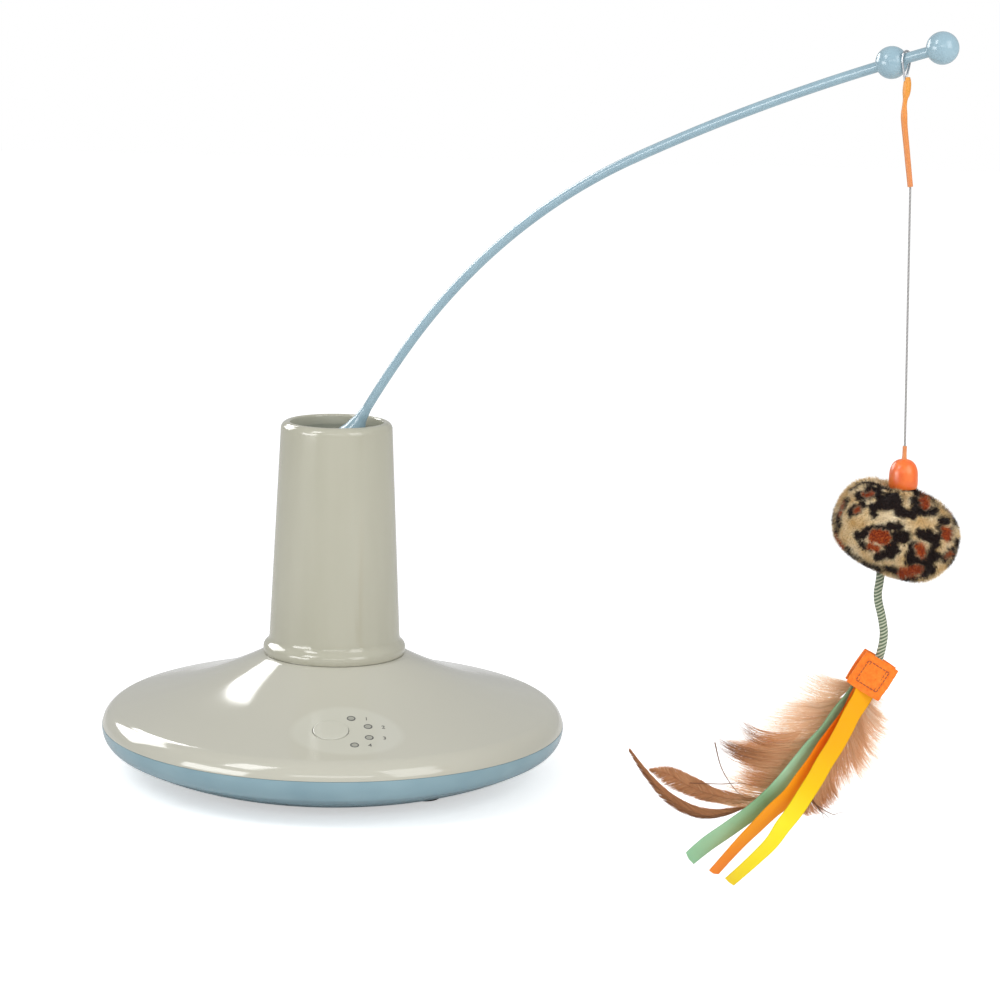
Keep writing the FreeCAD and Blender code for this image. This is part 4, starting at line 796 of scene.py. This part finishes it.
def lure_line():
    line = cord_curve("lure_line_twist", [LINE_TOP, LINE_LOW], LINE_D / 2, LINE, 2)
    dress(line, "line", ["lure_line"])
    tube = turned([(0.55, 0), (1.3, 0), (1.12, 0.8), (1.02, 2.4), (1.0, 5.0), (1.06, 6.0), (0.95, 6.4),
                   (0.6, 6.4)], 32)
    bmesh.ops.translate(tube, vec=hang(LINE_LOW.x, FERRULE_LOW_Z - 0.2), verts=tube.verts)
    ferrule = piece("line_ferrule_tube", tube, "line", SLEEVE, ["line_ferrule"])
    r, h = LURE_BEAD_R, LURE_BEAD_H
    wall = [(1.25, 0.3), (r * 0.84, 0.0), (r * 0.93, 0.25), (r * 0.985, 1.0), (r, 2.4), (r, h * 0.3),
            (r * 0.985, h * 0.5), (r * 0.955, h * 0.62)]
    crown = [(r * 0.9, h * 0.72), (r * 0.8, h * 0.82), (r * 0.66, h * 0.905), (r * 0.48, h * 0.965),
             (r * 0.3, h * 0.993), (1.25, h)]
    bm = turned(wall + crown, 96)
    bmesh.ops.translate(bm, vec=hang(LINE_LOW.x, FERRULE_LOW_Z - h), verts=bm.verts)
    bead = piece("orange_bead_body", bm, "line", BEAD, ["orange_bead"])


def tail_cord():
    cord = cord_curve("braided_tail_cord", [hang(x, z) for x, z in TAIL_ROUTE], TAIL_D / 2, BRAID)
    dress(cord, "tail", ["tail_cord"])
    return cord


# Plush ball: the print's dark and rust strokes as x, z, x, z, half width on the hanging plane, from PRINT_C;
# the back repeats them
PRINT_C = (275.3, 180.7)
DARK_STROKES = (
    (-17.2, -2.3, -12.6, -0.9, 2.1), (-12.6, 0.0, -4.7, 1.4, 2.3), (-4.7, 1.4, 1.9, 2.3, 2.1),
    (-0.9, -3.3, 4.2, -2.8, 3.3), (-2.8, -4.7, -0.5, -8.8, 3.3), (-7.0, -12.1, -1.4, -10.7, 2.3),
    (-15.3, -6.5, -10.7, -8.4, 1.6), (-11.6, 11.2, -0.9, 11.6, 2.1), (-7.0, 14.0, -0.9, 15.8, 3.0),
    (-10.7, 8.4, -9.8, 7.4, 1.6), (-17.2, 16.3, -8.8, 18.1, 2.3), (-13.5, 19.5, -5.1, 20.9, 1.4),
    (-20.5, 8.4, -15.8, 12.1, 2.1), (-22.8, 14.4, -26.5, 7.0, 1.0), (-26.5, 7.0, -26.0, 0.5, 1.1),
    (-28.8, 10.7, -29.8, 2.8, 0.8), (-29.3, 1.4, -25.6, -7.0, 1.3), (-25.6, -7.0, -20.9, -9.3, 1.2),
    (-26.5, -7.9, -13.5, -14.4, 0.7), (-21.9, 19.5, -16.3, 22.3, 1.0), (-15.3, 23.3, -4.2, 20.9, 1.4),
    (9.3, 18.1, 12.1, 17.7, 2.1), (8.4, 14.4, 10.2, 11.6, 2.3), (1.9, 9.3, 7.9, 7.9, 2.6),
    (7.9, 9.3, 17.7, 9.8, 2.1), (14.0, 16.3, 20.9, 13.0, 1.1), (20.9, 13.0, 25.6, 8.8, 1.3),
    (25.6, 8.8, 27.9, 3.3, 1.1), (21.4, 5.1, 23.7, 4.7, 2.1), (20.9, 2.3, 21.9, -2.3, 1.5),
    (25.6, 1.4, 26.0, -3.3, 1.0), (12.6, -0.9, 19.1, -2.8, 2.8), (9.3, -6.5, 7.4, -12.1, 2.3),
    (19.5, -5.6, 16.3, -10.2, 1.9), (7.9, -14.0, 19.1, -11.6, 2.8), (13.5, -16.3, 17.2, -17.2, 2.8),
    (-2.8, -17.2, 2.8, -19.5, 1.6), (3.7, -22.3, 11.6, -21.9, 1.1), (26.5, -8.8, 23.7, -12.6, 1.9),
    (28.8, -4.2, 29.3, -7.9, 1.1), (25.6, -15.8, 28.8, -10.7, 0.8), (-13.5, -14.9, -6.0, -18.1, 1.0),
    (-0.9, 16.7, 0.9, 13.0, 1.9), (14.4, -19.1, 16.3, -16.3, 2.8),
)
RUST_STROKES = (
    (-8.8, -2.3, -5.1, -3.3, 3.7), (-10.7, -7.4, -8.8, -8.4, 1.9), (12.6, 14.4, 13.5, 12.6, 2.4),
    (23.7, 0.9, 24.2, -1.9, 2.3), (12.1, -7.0, 12.6, -10.2, 2.3), (4.2, -19.5, 11.6, -17.7, 2.3),
    (-15.8, 16.7, -11.6, 17.2, 1.1), (-19.5, 8.8, -16.7, 10.7, 0.9), (-24.2, 12.6, -26.0, 7.0, 0.5),
    (-27.9, -2.3, -23.7, -7.9, 0.7), (26.0, -9.8, 24.2, -11.6, 1.0),
)
GATHER = Vector((278.1, HANG_Y, 201.0))
GATHER_FOLDS = 15
PLUSH_POWER = 2.45
PILE_COUNT = 46000
PILE_LENGTH = (1.2, 2.9)
PILE_HALF_WIDTH = (0.09, 0.15)
PILE_STRAY = 0.42
PILE_DROOP = Vector((-0.25, 0, -0.55))


def plush_surface(bm):
    # A padded, tilted ball with folds that draw in to the gather under the bead, and a slightly uneven skin
    tilt = Matrix.Rotation(math.radians(PLUSH_TILT), 3, "Y")
    a, b, e = PLUSH_WIDE / 2, PLUSH_TALL / 2 - 1.4, PLUSH_POWER
    for v in bm.verts:
        d = v.co.normalized()
        flat = math.hypot(d.x, d.y)
        k = (flat ** e / a ** e + abs(d.z) ** e / b ** e) ** (-1 / e)
        p = PLUSH_C + tilt @ (d * k)
        reach = p - GATHER
        far = math.hypot(reach.x, reach.y)
        turn = math.atan2(reach.y, reach.x)
        if p.z > PLUSH_C.z:
            low = GATHER.z - 0.5 + 0.33 * max(0.0, far - LURE_BEAD_R * 0.8)
            near = math.exp(-(far / 11.0) ** 2)
            p.z = p.z + (min(p.z, low) - p.z) * min(1.0, near * 1.6)
            fold = (0.5 + 0.5 * math.cos(GATHER_FOLDS * turn + 2.2 * noise.noise(p * 0.08))) ** 2
            p = p - (p - PLUSH_C).normalized() * fold * 2.6 * math.exp(-((reach.length - 9.0) / 15.0) ** 2)
        sag = noise.noise(p * 0.09) * 0.9 + noise.noise(p * 0.3) * 0.25
        v.co = p + (p - PLUSH_C).normalized() * (sag - 1.7)


def spot_masks(points):
    # How dark and how rusty the plush is at each point, by its distance to the strokes as the camera sees them
    pts = np.array(points)
    front = pts[:, 1] < HANG_Y
    scale = np.where(front, (HANG_Y - EYE_Y) / (pts[:, 1] - EYE_Y), 1.0)
    x = EYE_X + (pts[:, 0] - EYE_X) * scale - PRINT_C[0]
    z = EYE_Z + (pts[:, 2] - EYE_Z) * scale - PRINT_C[1]
    x = np.where(front, x, -x)
    shift = Vector((7, 3, 1))
    wob = np.array([noise.noise(Vector(p) * 0.5) + 0.6 * noise.noise(Vector(p) * 1.3 + shift) for p in points])
    masks = []
    for strokes, grow in ((DARK_STROKES, 0.15), (RUST_STROKES, 0.0)):
        best = np.full(len(pts), 99.0)
        for x0, z0, x1, z1, r in strokes:
            run = (x1 - x0) ** 2 + (z1 - z0) ** 2 + 1e-6
            t = np.clip(((x - x0) * (x1 - x0) + (z - z0) * (z1 - z0)) / run, 0, 1)
            best = np.minimum(best, np.hypot(x - x0 - t * (x1 - x0), z - z0 - t * (z1 - z0)) - r - grow)
        masks.append(np.clip((0.45 - best - wob * 1.1) / 0.9, 0, 1))
    dark, rust = masks
    return dark * (1 - rust), rust


def set_print(mesh, dark, rust):
    for name, values in (("dark", dark), ("rust", rust)):
        made = mesh.attributes.new(name, "FLOAT", "POINT")
        made.data.foreach_set("value", np.asarray(values, np.float32))


def plush():
    bm = bmesh.new()
    bmesh.ops.create_icosphere(bm, subdivisions=6, radius=1.0)
    plush_surface(bm)
    bmesh.ops.recalc_face_normals(bm, faces=bm.faces)
    points = [tuple(v.co) for v in bm.verts]
    normals = [tuple(v.normal) for v in bm.verts]
    corners = [[v.index for v in f.verts] for f in bm.faces]
    areas = [f.calc_area() for f in bm.faces]
    dark, rust = spot_masks(points)
    ball = piece("leopard_plush_ball", bm, "line", PLUSH, ["plush_ball"], 180)
    set_print(ball.data, dark, rust)
    rng = random.Random(11)
    picks = rng.choices(range(len(corners)), weights=areas, k=PILE_COUNT)
    pile = bmesh.new()
    pile_dark = []
    pile_rust = []
    for f in picks:
        s, t = rng.random(), rng.random()
        if s + t > 1:
            s, t = 1 - s, 1 - t
        a, b, c = [Vector(points[i]) for i in corners[f]]
        root = a + (b - a) * s + (c - a) * t
        normal = Vector(normals[corners[f][0]])
        loose = Vector([rng.gauss(0, PILE_STRAY) for _ in range(3)])
        lean = PILE_DROOP - normal * PILE_DROOP.dot(normal)
        aim = (normal + lean * 0.8 + loose).normalized()
        across = aim.cross(Vector([rng.gauss(0, 1) for _ in range(3)])).normalized() * rng.uniform(*PILE_HALF_WIDTH)
        base = root - normal * 0.15
        tip = base + aim * rng.uniform(*PILE_LENGTH)
        pile.faces.new([pile.verts.new(base - across), pile.verts.new(base + across), pile.verts.new(tip)])
        at = corners[f][0]
        pile_dark += [dark[at]] * 3
        pile_rust += [rust[at]] * 3
    fur = piece("plush_pile", pile, "line", PLUSH, (), 180)
    set_print(fur.data, pile_dark, pile_rust)


# Felt patches, stitches, ribbons
def felt_patch(name, y, node_name):
    face = -1 if y < 0 else 1
    bm = bmesh.new()
    bmesh.ops.create_grid(bm, x_segments=40, y_segments=40, size=0.5)
    rng = random.Random(3 if y < 0 else 4)
    turn = Matrix.Rotation(math.radians(-TAB_TURN), 3, "Y")
    for v in bm.verts:
        x, z = v.co.x * 2, v.co.y * 2
        round_x = x * math.sqrt(1 - 0.07 * z * z)
        round_z = z * math.sqrt(1 - 0.07 * x * x)
        seam = max(abs(x), abs(z))
        dip = -0.3 * math.exp(-((seam - 0.66) / 0.06) ** 2)
        bow = 0.4 * (1 - seam ** 2)
        wave = 0.2 * noise.noise(Vector((x * 2.2, z * 2.2, y))) + 0.08 * noise.noise(Vector((x * 9, z * 9, y)))
        place = turn @ Vector((round_x * (TAB_W / 2 + 0.5), 0, round_z * (TAB_H / 2 + 0.5)))
        v.co = Vector((TAB_C[0] + place.x, HANG_Y + y + face * (dip + bow + wave), TAB_C[1] + place.z))
        v.co.x += rng.uniform(-0.08, 0.08)
    faces = list(bm.faces)
    before = max(face * v.co.y for v in bm.verts)
    bmesh.ops.recalc_face_normals(bm, faces=faces)
    bmesh.ops.solidify(bm, geom=faces, thickness=FELT_T * 0.9)
    after = max(face * v.co.y for v in bm.verts)
    bmesh.ops.translate(bm, vec=(0, face * (before - after), 0), verts=bm.verts)
    bmesh.ops.recalc_face_normals(bm, faces=bm.faces)
    return piece(name, bm, "tail", FELT, [node_name], 60)


def stitches(name, y):
    bm = bmesh.new()
    turn = Matrix.Rotation(math.radians(-TAB_TURN), 3, "Y")
    half_x, half_z = TAB_W * 0.33, TAB_H * 0.33
    corners = [(-half_x, -half_z), (half_x, -half_z), (half_x, half_z), (-half_x, half_z)]
    lines = [(corners[i], corners[(i + 1) % 4]) for i in range(4)]
    for i, dx in ((1, -1.3), (3, 1.3)):
        (x0, z0), (x1, z1) = lines[i]
        lines.append(((x0 + dx, z0), (x1 + dx, z1)))
    for (x0, z0), (x1, z1) in lines:
        for k in range(6):
            a, b = (k + 0.1) / 6, (k + 0.84) / 6
            p = turn @ Vector((x0 + (x1 - x0) * a, 0, z0 + (z1 - z0) * a))
            q = turn @ Vector((x0 + (x1 - x0) * b, 0, z0 + (z1 - z0) * b))
            p = hang(TAB_C[0] + p.x, TAB_C[1] + p.z, y)
            q = hang(TAB_C[0] + q.x, TAB_C[1] + q.z, y)
            way = (q - p).normalized()
            bmesh.ops.create_cone(bm, cap_ends=True, segments=8, radius1=0.3, radius2=0.3,
                                  depth=(q - p).length, matrix=aimed((p + q) / 2, way))
    bmesh.ops.recalc_face_normals(bm, faces=bm.faces)
    return piece(name, bm, "tail", THREAD)


def bezier(points, t):
    # The place at a share of the curve that the points pull on
    while len(points) > 1:
        points = [a + (b - a) * t for a, b in zip(points, points[1:])]
    return points[0]


def from_view(seen, depth):
    # The point that shows at this place of the hanging plane while it lies depth behind it
    k = 1 + depth / (HANG_Y - EYE_Y)
    return Vector((EYE_X + (seen.x - EYE_X) * k, HANG_Y + depth, EYE_Z + (seen.z - EYE_Z) * k))


def ribbon(name, edge, y_shift, slant, material, node_name):
    # The edge is the ribbon's left side as it is seen from the front; its turn hides a share of the width
    spots = [hang(x, z) for x, z, _ in edge]
    widths = [Vector((w, 0, 0)) for _, _, w in edge]
    bm = bmesh.new()
    bmesh.ops.create_grid(bm, x_segments=8, y_segments=RIBBON_ROWS, size=0.5, calc_uvs=True)
    uv = bm.loops.layers.uv.verify()
    for f in bm.faces:
        for loop in f.loops:
            loop[uv].uv = (loop.vert.co.x + 0.5, loop.vert.co.y + 0.5)
    for v in bm.verts:
        t = v.co.y + 0.5
        side = v.co.x
        if t > 0.97:
            t = t + slant * side * (t - 0.97) / 0.03
        p = strip_points(spots, t)
        ahead = (strip_points(spots, min(1, t + 0.03)) - strip_points(spots, max(0, t - 0.03))).normalized()
        flat = Vector((0, 1, 0)).cross(ahead).normalized()
        turn = -math.acos(min(1.0, strip_points(widths, t).x / RIBBON_W))
        lift = y_shift + 0.5 * RIBBON_W * math.sin(turn) + 0.3 * (1 - (2 * side) ** 2) + 0.25 * math.sin(9 * t + side)
        seen = p + flat * (side - 0.5) * RIBBON_W * math.cos(turn)
        depth = lift + (side - 0.5) * RIBBON_W * math.sin(turn)
        v.co = from_view(seen, depth)
    bmesh.ops.solidify(bm, geom=list(bm.faces), thickness=RIBBON_T)
    bmesh.ops.recalc_face_normals(bm, faces=bm.faces)
    made = piece(name, bm, "tail", material, [node_name], 50)
    return made


# Feathers: every barb runs from a spine to a row of tips, as a thin tapering strip
CLUMPS = 9
QUILL_CUTS = 40


def strip_points(points, t):
    # The place at a share of the smooth curve that goes through all the points
    spans = len(points) - 1
    at = min(spans - 1e-6, max(0.0, t * spans))
    i = int(at)
    p0 = points[max(0, i - 1)]
    p1, p2 = points[i], points[i + 1]
    p3 = points[min(spans, i + 2)]
    f = at - i
    slow = 2 * p0 - 5 * p1 + 4 * p2 - p3
    fast = 3 * p1 - p0 - 3 * p2 + p3
    return 0.5 * ((2 * p1) + (p2 - p0) * f + slow * f ** 2 + fast * f ** 3)


def barb(bm, tones, points, width, tone_root, tone_tip, twist, steps=6):
    last = None
    for i in range(steps + 1):
        t = i / steps
        p = bezier(points, t)
        ahead = (bezier(points, min(1.0, t + 0.05)) - bezier(points, max(0.0, t - 0.05))).normalized()
        flat = Vector((0, 1, 0)).cross(ahead).normalized()
        across = (flat * math.cos(twist) + Vector((0, 1, 0)) * math.sin(twist)) * width * (1 - t ** 1.5) * 0.5
        pair = (bm.verts.new(p - across), bm.verts.new(p + across)) if i < steps else (bm.verts.new(p),) * 2
        tone = tone_root + (tone_tip - tone_root) * t
        tones += [tone] * (2 if i < steps else 1)
        if last:
            corners = [last[0], last[1], pair[1]] + ([pair[0]] if i < steps else [])
            bm.faces.new(corners)
        last = pair


def plume(name, node_name, groups, seed):
    rng = random.Random(seed)
    bm = bmesh.new()
    tones = []
    for g in groups:
        spine = [hang(x, z, g["y"]) for x, z in g["spine"]]
        tips = [hang(x, z, g["y"]) for x, z in g["tips"]]
        for i in range(g["count"]):
            t = (i + rng.random()) / g["count"]
            root = strip_points(spine, t)
            cell = (math.floor(t * CLUMPS) + 0.5) / CLUMPS
            tip_t = t + (cell - t) * g["clump"] + rng.gauss(0, g["stray"])
            tip = root + (strip_points(tips, min(1, max(0, tip_t))) - root) * rng.uniform(*g["reach"])
            span = (tip - root).length
            sideways = Vector((0, 1, 0)).cross((tip - root).normalized())
            bend = g["bend"] * span + rng.gauss(0, 0.03) * span
            depth = Vector((0, rng.uniform(-1, 1) * g["thick"], 0))
            near = root + (tip - root) * 0.35 + sideways * bend + depth * 0.4
            far = root + (tip - root) * 0.75 + sideways * bend * 1.1 + depth * 0.8
            barb(bm, tones, [root, near, far, tip + depth], g["width"] * rng.uniform(0.7, 1.3),
                 g["tone"][0] + rng.gauss(0, 0.05), g["tone"][1] + rng.gauss(0, 0.07), rng.gauss(0, 0.6))
        if g["quill"]:
            for k in range(QUILL_CUTS):
                a, b = strip_points(spine, k / QUILL_CUTS), strip_points(spine, (k + 1) / QUILL_CUTS)
                w = g["quill"] * (1 - k / (1.1 * QUILL_CUTS))
                place = aimed((a + b) / 2 - Vector((0, 0.3, 0)), b - a)
                made = bmesh.ops.create_cone(bm, cap_ends=False, segments=6, radius1=w, radius2=w * 0.975,
                                             depth=(b - a).length * 1.02, matrix=place)
                tones += [g["quill_tone"]] * len(made["verts"])
    made = piece(name, bm, "tail", BARBS, [node_name], 180)
    attribute = made.data.attributes.new("tone", "FLOAT", "POINT")
    attribute.data.foreach_set("value", np.clip(np.asarray(tones, np.float32), 0, 1))


def vane(spine, tips, count, tone, width=0.2, bend=0.08, stray=0.03, reach=(0.6, 1.0), thick=0.9, y=4.6,
         clump=0.6, quill=0, quill_tone=0):
    # Spine and tips are x, z on the hanging plane; tone and reach go from root to tip, and quill is its half width
    return dict(spine=spine, tips=tips, count=count, tone=tone, width=width, bend=bend, stray=stray, reach=reach,
                thick=thick, y=y, clump=clump, quill=quill, quill_tone=quill_tone)


def strand(route, quill, tone, y=3.9):
    # A bare quill that sticks out of the plume, with two short barbs
    return vane(route, route, 2, (tone, tone), 0.1, 0, 0, (0.1, 0.2), 0.1, y, quill=quill, quill_tone=tone)


def feathers():
    down = vane(((262.0, 106.0), (256.0, 101.0), (249.0, 94.0)),
                ((234.0, 115.0), (226.4, 109.7), (219.0, 98.0)), 520, (0.42, 0.04), 0.15, -0.12, 0.09,
                (0.35, 1.0), 1.6)
    upper = vane(((258.0, 99.5), (252.5, 90.6), (246.0, 79.0)), ((220.0, 97.0), (208.2, 88.7), (200.5, 77.3)),
                 800, (0.5, 0.18), 0.17, -0.13, 0.07, (0.45, 1.0))
    middle = vane(((246.0, 79.0), (239.0, 69.0), (232.0, 60.0)), ((200.5, 77.3), (196.7, 76.7), (202.0, 70.0)),
                  700, (0.4, 0.68), 0.22, -0.11, 0.04)
    lower = vane(((238.0, 70.0), (232.0, 61.5), (226.0, 54.0)), ((202.5, 72.5), (204.0, 65.0), (205.0, 57.0)),
                 460, (0.5, 0.78), 0.22, -0.08, 0.05)
    under = vane(((230.0, 60.0), (222.0, 52.0), (211.0, 43.0)), ((203.0, 62.0), (197.0, 56.0), (192.0, 47.0)),
                 380, (0.45, 0.62), 0.2, -0.04, 0.07, (0.45, 1.0))
    wisps = vane(((224.0, 58.5), (212.0, 52.8)), ((193.2, 70.8), (188.6, 59.8)), 130, (0.2, 0.05), 0.12, 0.1,
                 0.12, (0.5, 1.0), 1.0)
    dark = vane(((236.0, 82.0), (230.0, 74.0)), ((203.5, 89.0), (205.0, 82.0)), 60, (0.5, 1.0), 0.34, -0.2,
                0.05, (0.8, 1.05), 0.4, y=4.0)
    dark_low = vane(((232.0, 72.0), (226.0, 64.0)), ((194.5, 78.5), (197.0, 72.0)), 110, (0.55, 1.0), 0.34,
                    -0.12, 0.05, (0.8, 1.05), 0.4, y=4.0)
    plume("feather_left_plume", "feather_left", [dark, dark_low, down, upper, middle, lower, under, wisps], 21)
    quill = ((216.0, 48.0), (202.5, 47.7), (194.3, 49.5), (188.1, 51.4), (180.8, 54.7), (172.5, 59.4), (164.8, 61.2))
    over = ((206.9, 49.8), (193.8, 53.5), (187.9, 57.3), (182.1, 60.1), (175.8, 63.0), (170.0, 63.4), (163.2, 61.5))
    beneath = ((201.7, 44.2), (192.1, 45.5), (186.3, 46.6), (179.5, 49.2), (172.7, 52.0), (167.3, 56.3),
               (163.1, 61.0))
    plume("feather_broad_blade", "feather_broad", [
        vane(quill, over, 900, (0.68, 0.76), 0.34, 0.02, 0.012, (0.85, 1.0), 0.3, quill=0.26, quill_tone=0.8,
             clump=0),
        vane(quill, beneath, 800, (0.72, 0.84), 0.34, -0.02, 0.012, (0.8, 1.0), 0.3, clump=0)], 22)
    quill = ((210.5, 43.5), (199.0, 39.2), (187.5, 40.0), (174.4, 46.6), (162.5, 59.0), (153.8, 71.0))
    over = ((196.2, 41.6), (184.6, 44.3), (171.9, 52.0), (160.7, 63.6), (154.2, 71.8))
    beneath = ((194.3, 37.2), (183.7, 38.0), (171.2, 45.0), (160.2, 58.6), (153.4, 70.2))
    plume("feather_long_blade", "feather_long", [
        vane(quill, over, 700, (0.76, 0.8), 0.34, 0.01, 0.012, (0.8, 1.0), 0.2, y=4.2, quill=0.26,
             quill_tone=0.85, clump=0),
        vane(quill, beneath, 600, (0.8, 0.98), 0.34, -0.01, 0.012, (0.7, 1.0), 0.2, y=4.2, clump=0),
        strand(((194.6, 75.5), (198.2, 63.0), (204.8, 52.7), (210.3, 48.3)), 0.34, 0.95),
        strand(((183.2, 55.2), (197.5, 55.0), (207.0, 55.7), (212.8, 54.9), (220.7, 53.5)), 0.3, 0.92),
        strand(((204.0, 40.7), (192.3, 38.1), (185.1, 39.4)), 0.26, 0.9)], 23)
    body = vane(((263.0, 97.0), (257.5, 81.6), (251.0, 66.7), (243.0, 51.7)),
                ((270.0, 72.0), (264.5, 55.9), (255.1, 46.4), (246.8, 40.8)), 1100, (0.5, 0.64), 0.22, 0.09,
                0.06, (0.5, 1.0))
    side = vane(((266.0, 99.5), (263.0, 89.0), (259.3, 76.2)), ((280.5, 86.9), (278.2, 68.6), (269.2, 52.6)),
                800, (0.36, 0.5), 0.19, 0.14, 0.08, (0.4, 1.0))
    fluff = vane(((267.1, 101.9), (265.4, 93.0)), ((278.0, 97.7), (281.1, 77.0)), 360, (0.25, 0.08), 0.14, 0.14,
                 0.14, (0.45, 1.0), 1.4)
    foot = vane(((250.3, 61.2), (243.4, 51.6), (236.9, 44.1)), ((257.2, 47.4), (250.7, 40.3), (240.0, 38.7)),
                480, (0.6, 0.82), 0.22, 0.1, 0.06)
    plume("feather_right_plume", "feather_right", [
        body, side, fluff, foot,
        strand(((241.1, 50.1), (245.8, 43.2), (249.7, 40.3), (252.7, 36.4)), 0.3, 0.97),
        strand(((241.7, 47.2), (251.6, 41.4), (255.4, 42.0), (260.7, 42.8)), 0.28, 0.95),
        strand(((239.7, 51.1), (246.8, 42.3), (248.9, 35.8)), 0.26, 0.95)], 24)


def tail():
    cord = tail_cord()
    front = felt_patch("felt_patch_front", -TAB_GAP / 2 - FELT_T, "felt_front")
    back = felt_patch("felt_patch_back", TAB_GAP / 2 + FELT_T, "felt_back")
    sewn = stitches("stitches_front", -TAB_GAP / 2 - FELT_T - 0.05)
    stitches("stitches_back", TAB_GAP / 2 + FELT_T + 0.05)
    ribbon("ribbon_yellow_satin", YELLOW_EDGE, -2.6, 0.03, YELLOW, "ribbon_yellow")
    ribbon("ribbon_orange_satin", ORANGE_EDGE, -0.6, 0.035, ORANGE, "ribbon_orange")
    ribbon("ribbon_green_satin", GREEN_EDGE, 1.0, -0.03, GREEN, "ribbon_green")
    feathers()


# Studio: a pale floor and soft lamps; the cards are only seen in the polished shells
LAMPS = (
    ("key_softbox", (-1.0, -0.9, 1.5), (0.0, 0.0, 0.1), (0.55, 0.8), 11.0),
    ("fill_softbox", (1.15, -1.15, 0.95), (0.05, 0.0, 0.1), (0.8, 1.2), 10.0),
    ("front_strip", (0.1, -1.9, 0.9), (0.1, 0.0, 0.1), (1.4, 0.25), 4.0),
    ("low_left_card", (-1.19, -0.84, 0.36), (0.0, 0.0, 0.1), (0.9, 0.5), 11.0),
    ("rim_card", (-1.10, 0.774, 0.774), (-0.1, -0.065, 0.035), (0.8, 0.74), 14.0),
    ("dome_card", (-0.631, 1.045, 0.917), (-0.045, -0.035, 0.057), (0.22, 0.42), 2.4),
)


def studio():
    world = bpy.data.worlds.new("studio")
    bpy.context.scene.world = world
    world.use_nodes = True
    tree = world.node_tree
    back = tree.nodes["Background"]
    back.inputs["Color"].default_value = colour("#f4f5f6")
    back.inputs["Strength"].default_value = 0.62
    white = node(tree, "Background", {"Color": (1, 1, 1, 1), "Strength": 1.0})
    path = node(tree, "LightPath").outputs
    seen = node(tree, "Math", {"operation": "MAXIMUM"}, {0: path["Is Camera Ray"], 1: path["Is Transmission Ray"]})
    node(tree, "MixShader", links={"Fac": seen, 1: back, 2: white}, to=tree.nodes["World Output"].inputs["Surface"])
    bm = bmesh.new()
    bmesh.ops.create_grid(bm, x_segments=1, y_segments=1, size=6.0)
    mesh = bpy.data.meshes.new("floor")
    bm.to_mesh(mesh)
    bm.free()
    floor = placed("floor", mesh)
    paper = bpy.data.materials.new("white_studio_floor")
    paper.use_nodes = True
    tree = paper.node_tree
    diffuse = node(tree, "BsdfDiffuse", {"Color": colour("#f7f7f7")})
    lit = node(tree, "Emission", {"Color": (1, 1, 1, 1), "Strength": 0.52})
    both = node(tree, "AddShader", links={0: diffuse, 1: lit})
    path = node(tree, "LightPath")
    surface = {"Fac": path.outputs["Is Camera Ray"], 1: diffuse, 2: both}
    node(tree, "MixShader", links=surface, to=tree.nodes["Material Output"].inputs["Surface"])
    mesh.materials.append(paper)
    for name, place, target, size, power in LAMPS:
        data = bpy.data.lights.new(name, "AREA")
        data.shape = "RECTANGLE"
        data.size, data.size_y = size
        data.energy = power
        lamp = placed(name, data)
        lamp.location = place
        lamp.rotation_euler = (Vector(target) - Vector(place)).to_track_quat("-Z", "Y").to_euler()
        lamp.visible_camera = False
        lamp.visible_diffuse = "card" not in name
    bpy.context.scene.view_settings.view_transform = "Standard"


camera()
lure_line()
lure_top()
tail()
dress_cad_nodes()
upper_shell()
lower_skin()
pressed_button()
light_windows()
tower()
wand()
plush()
studio()
bpy.context.view_layer.update()
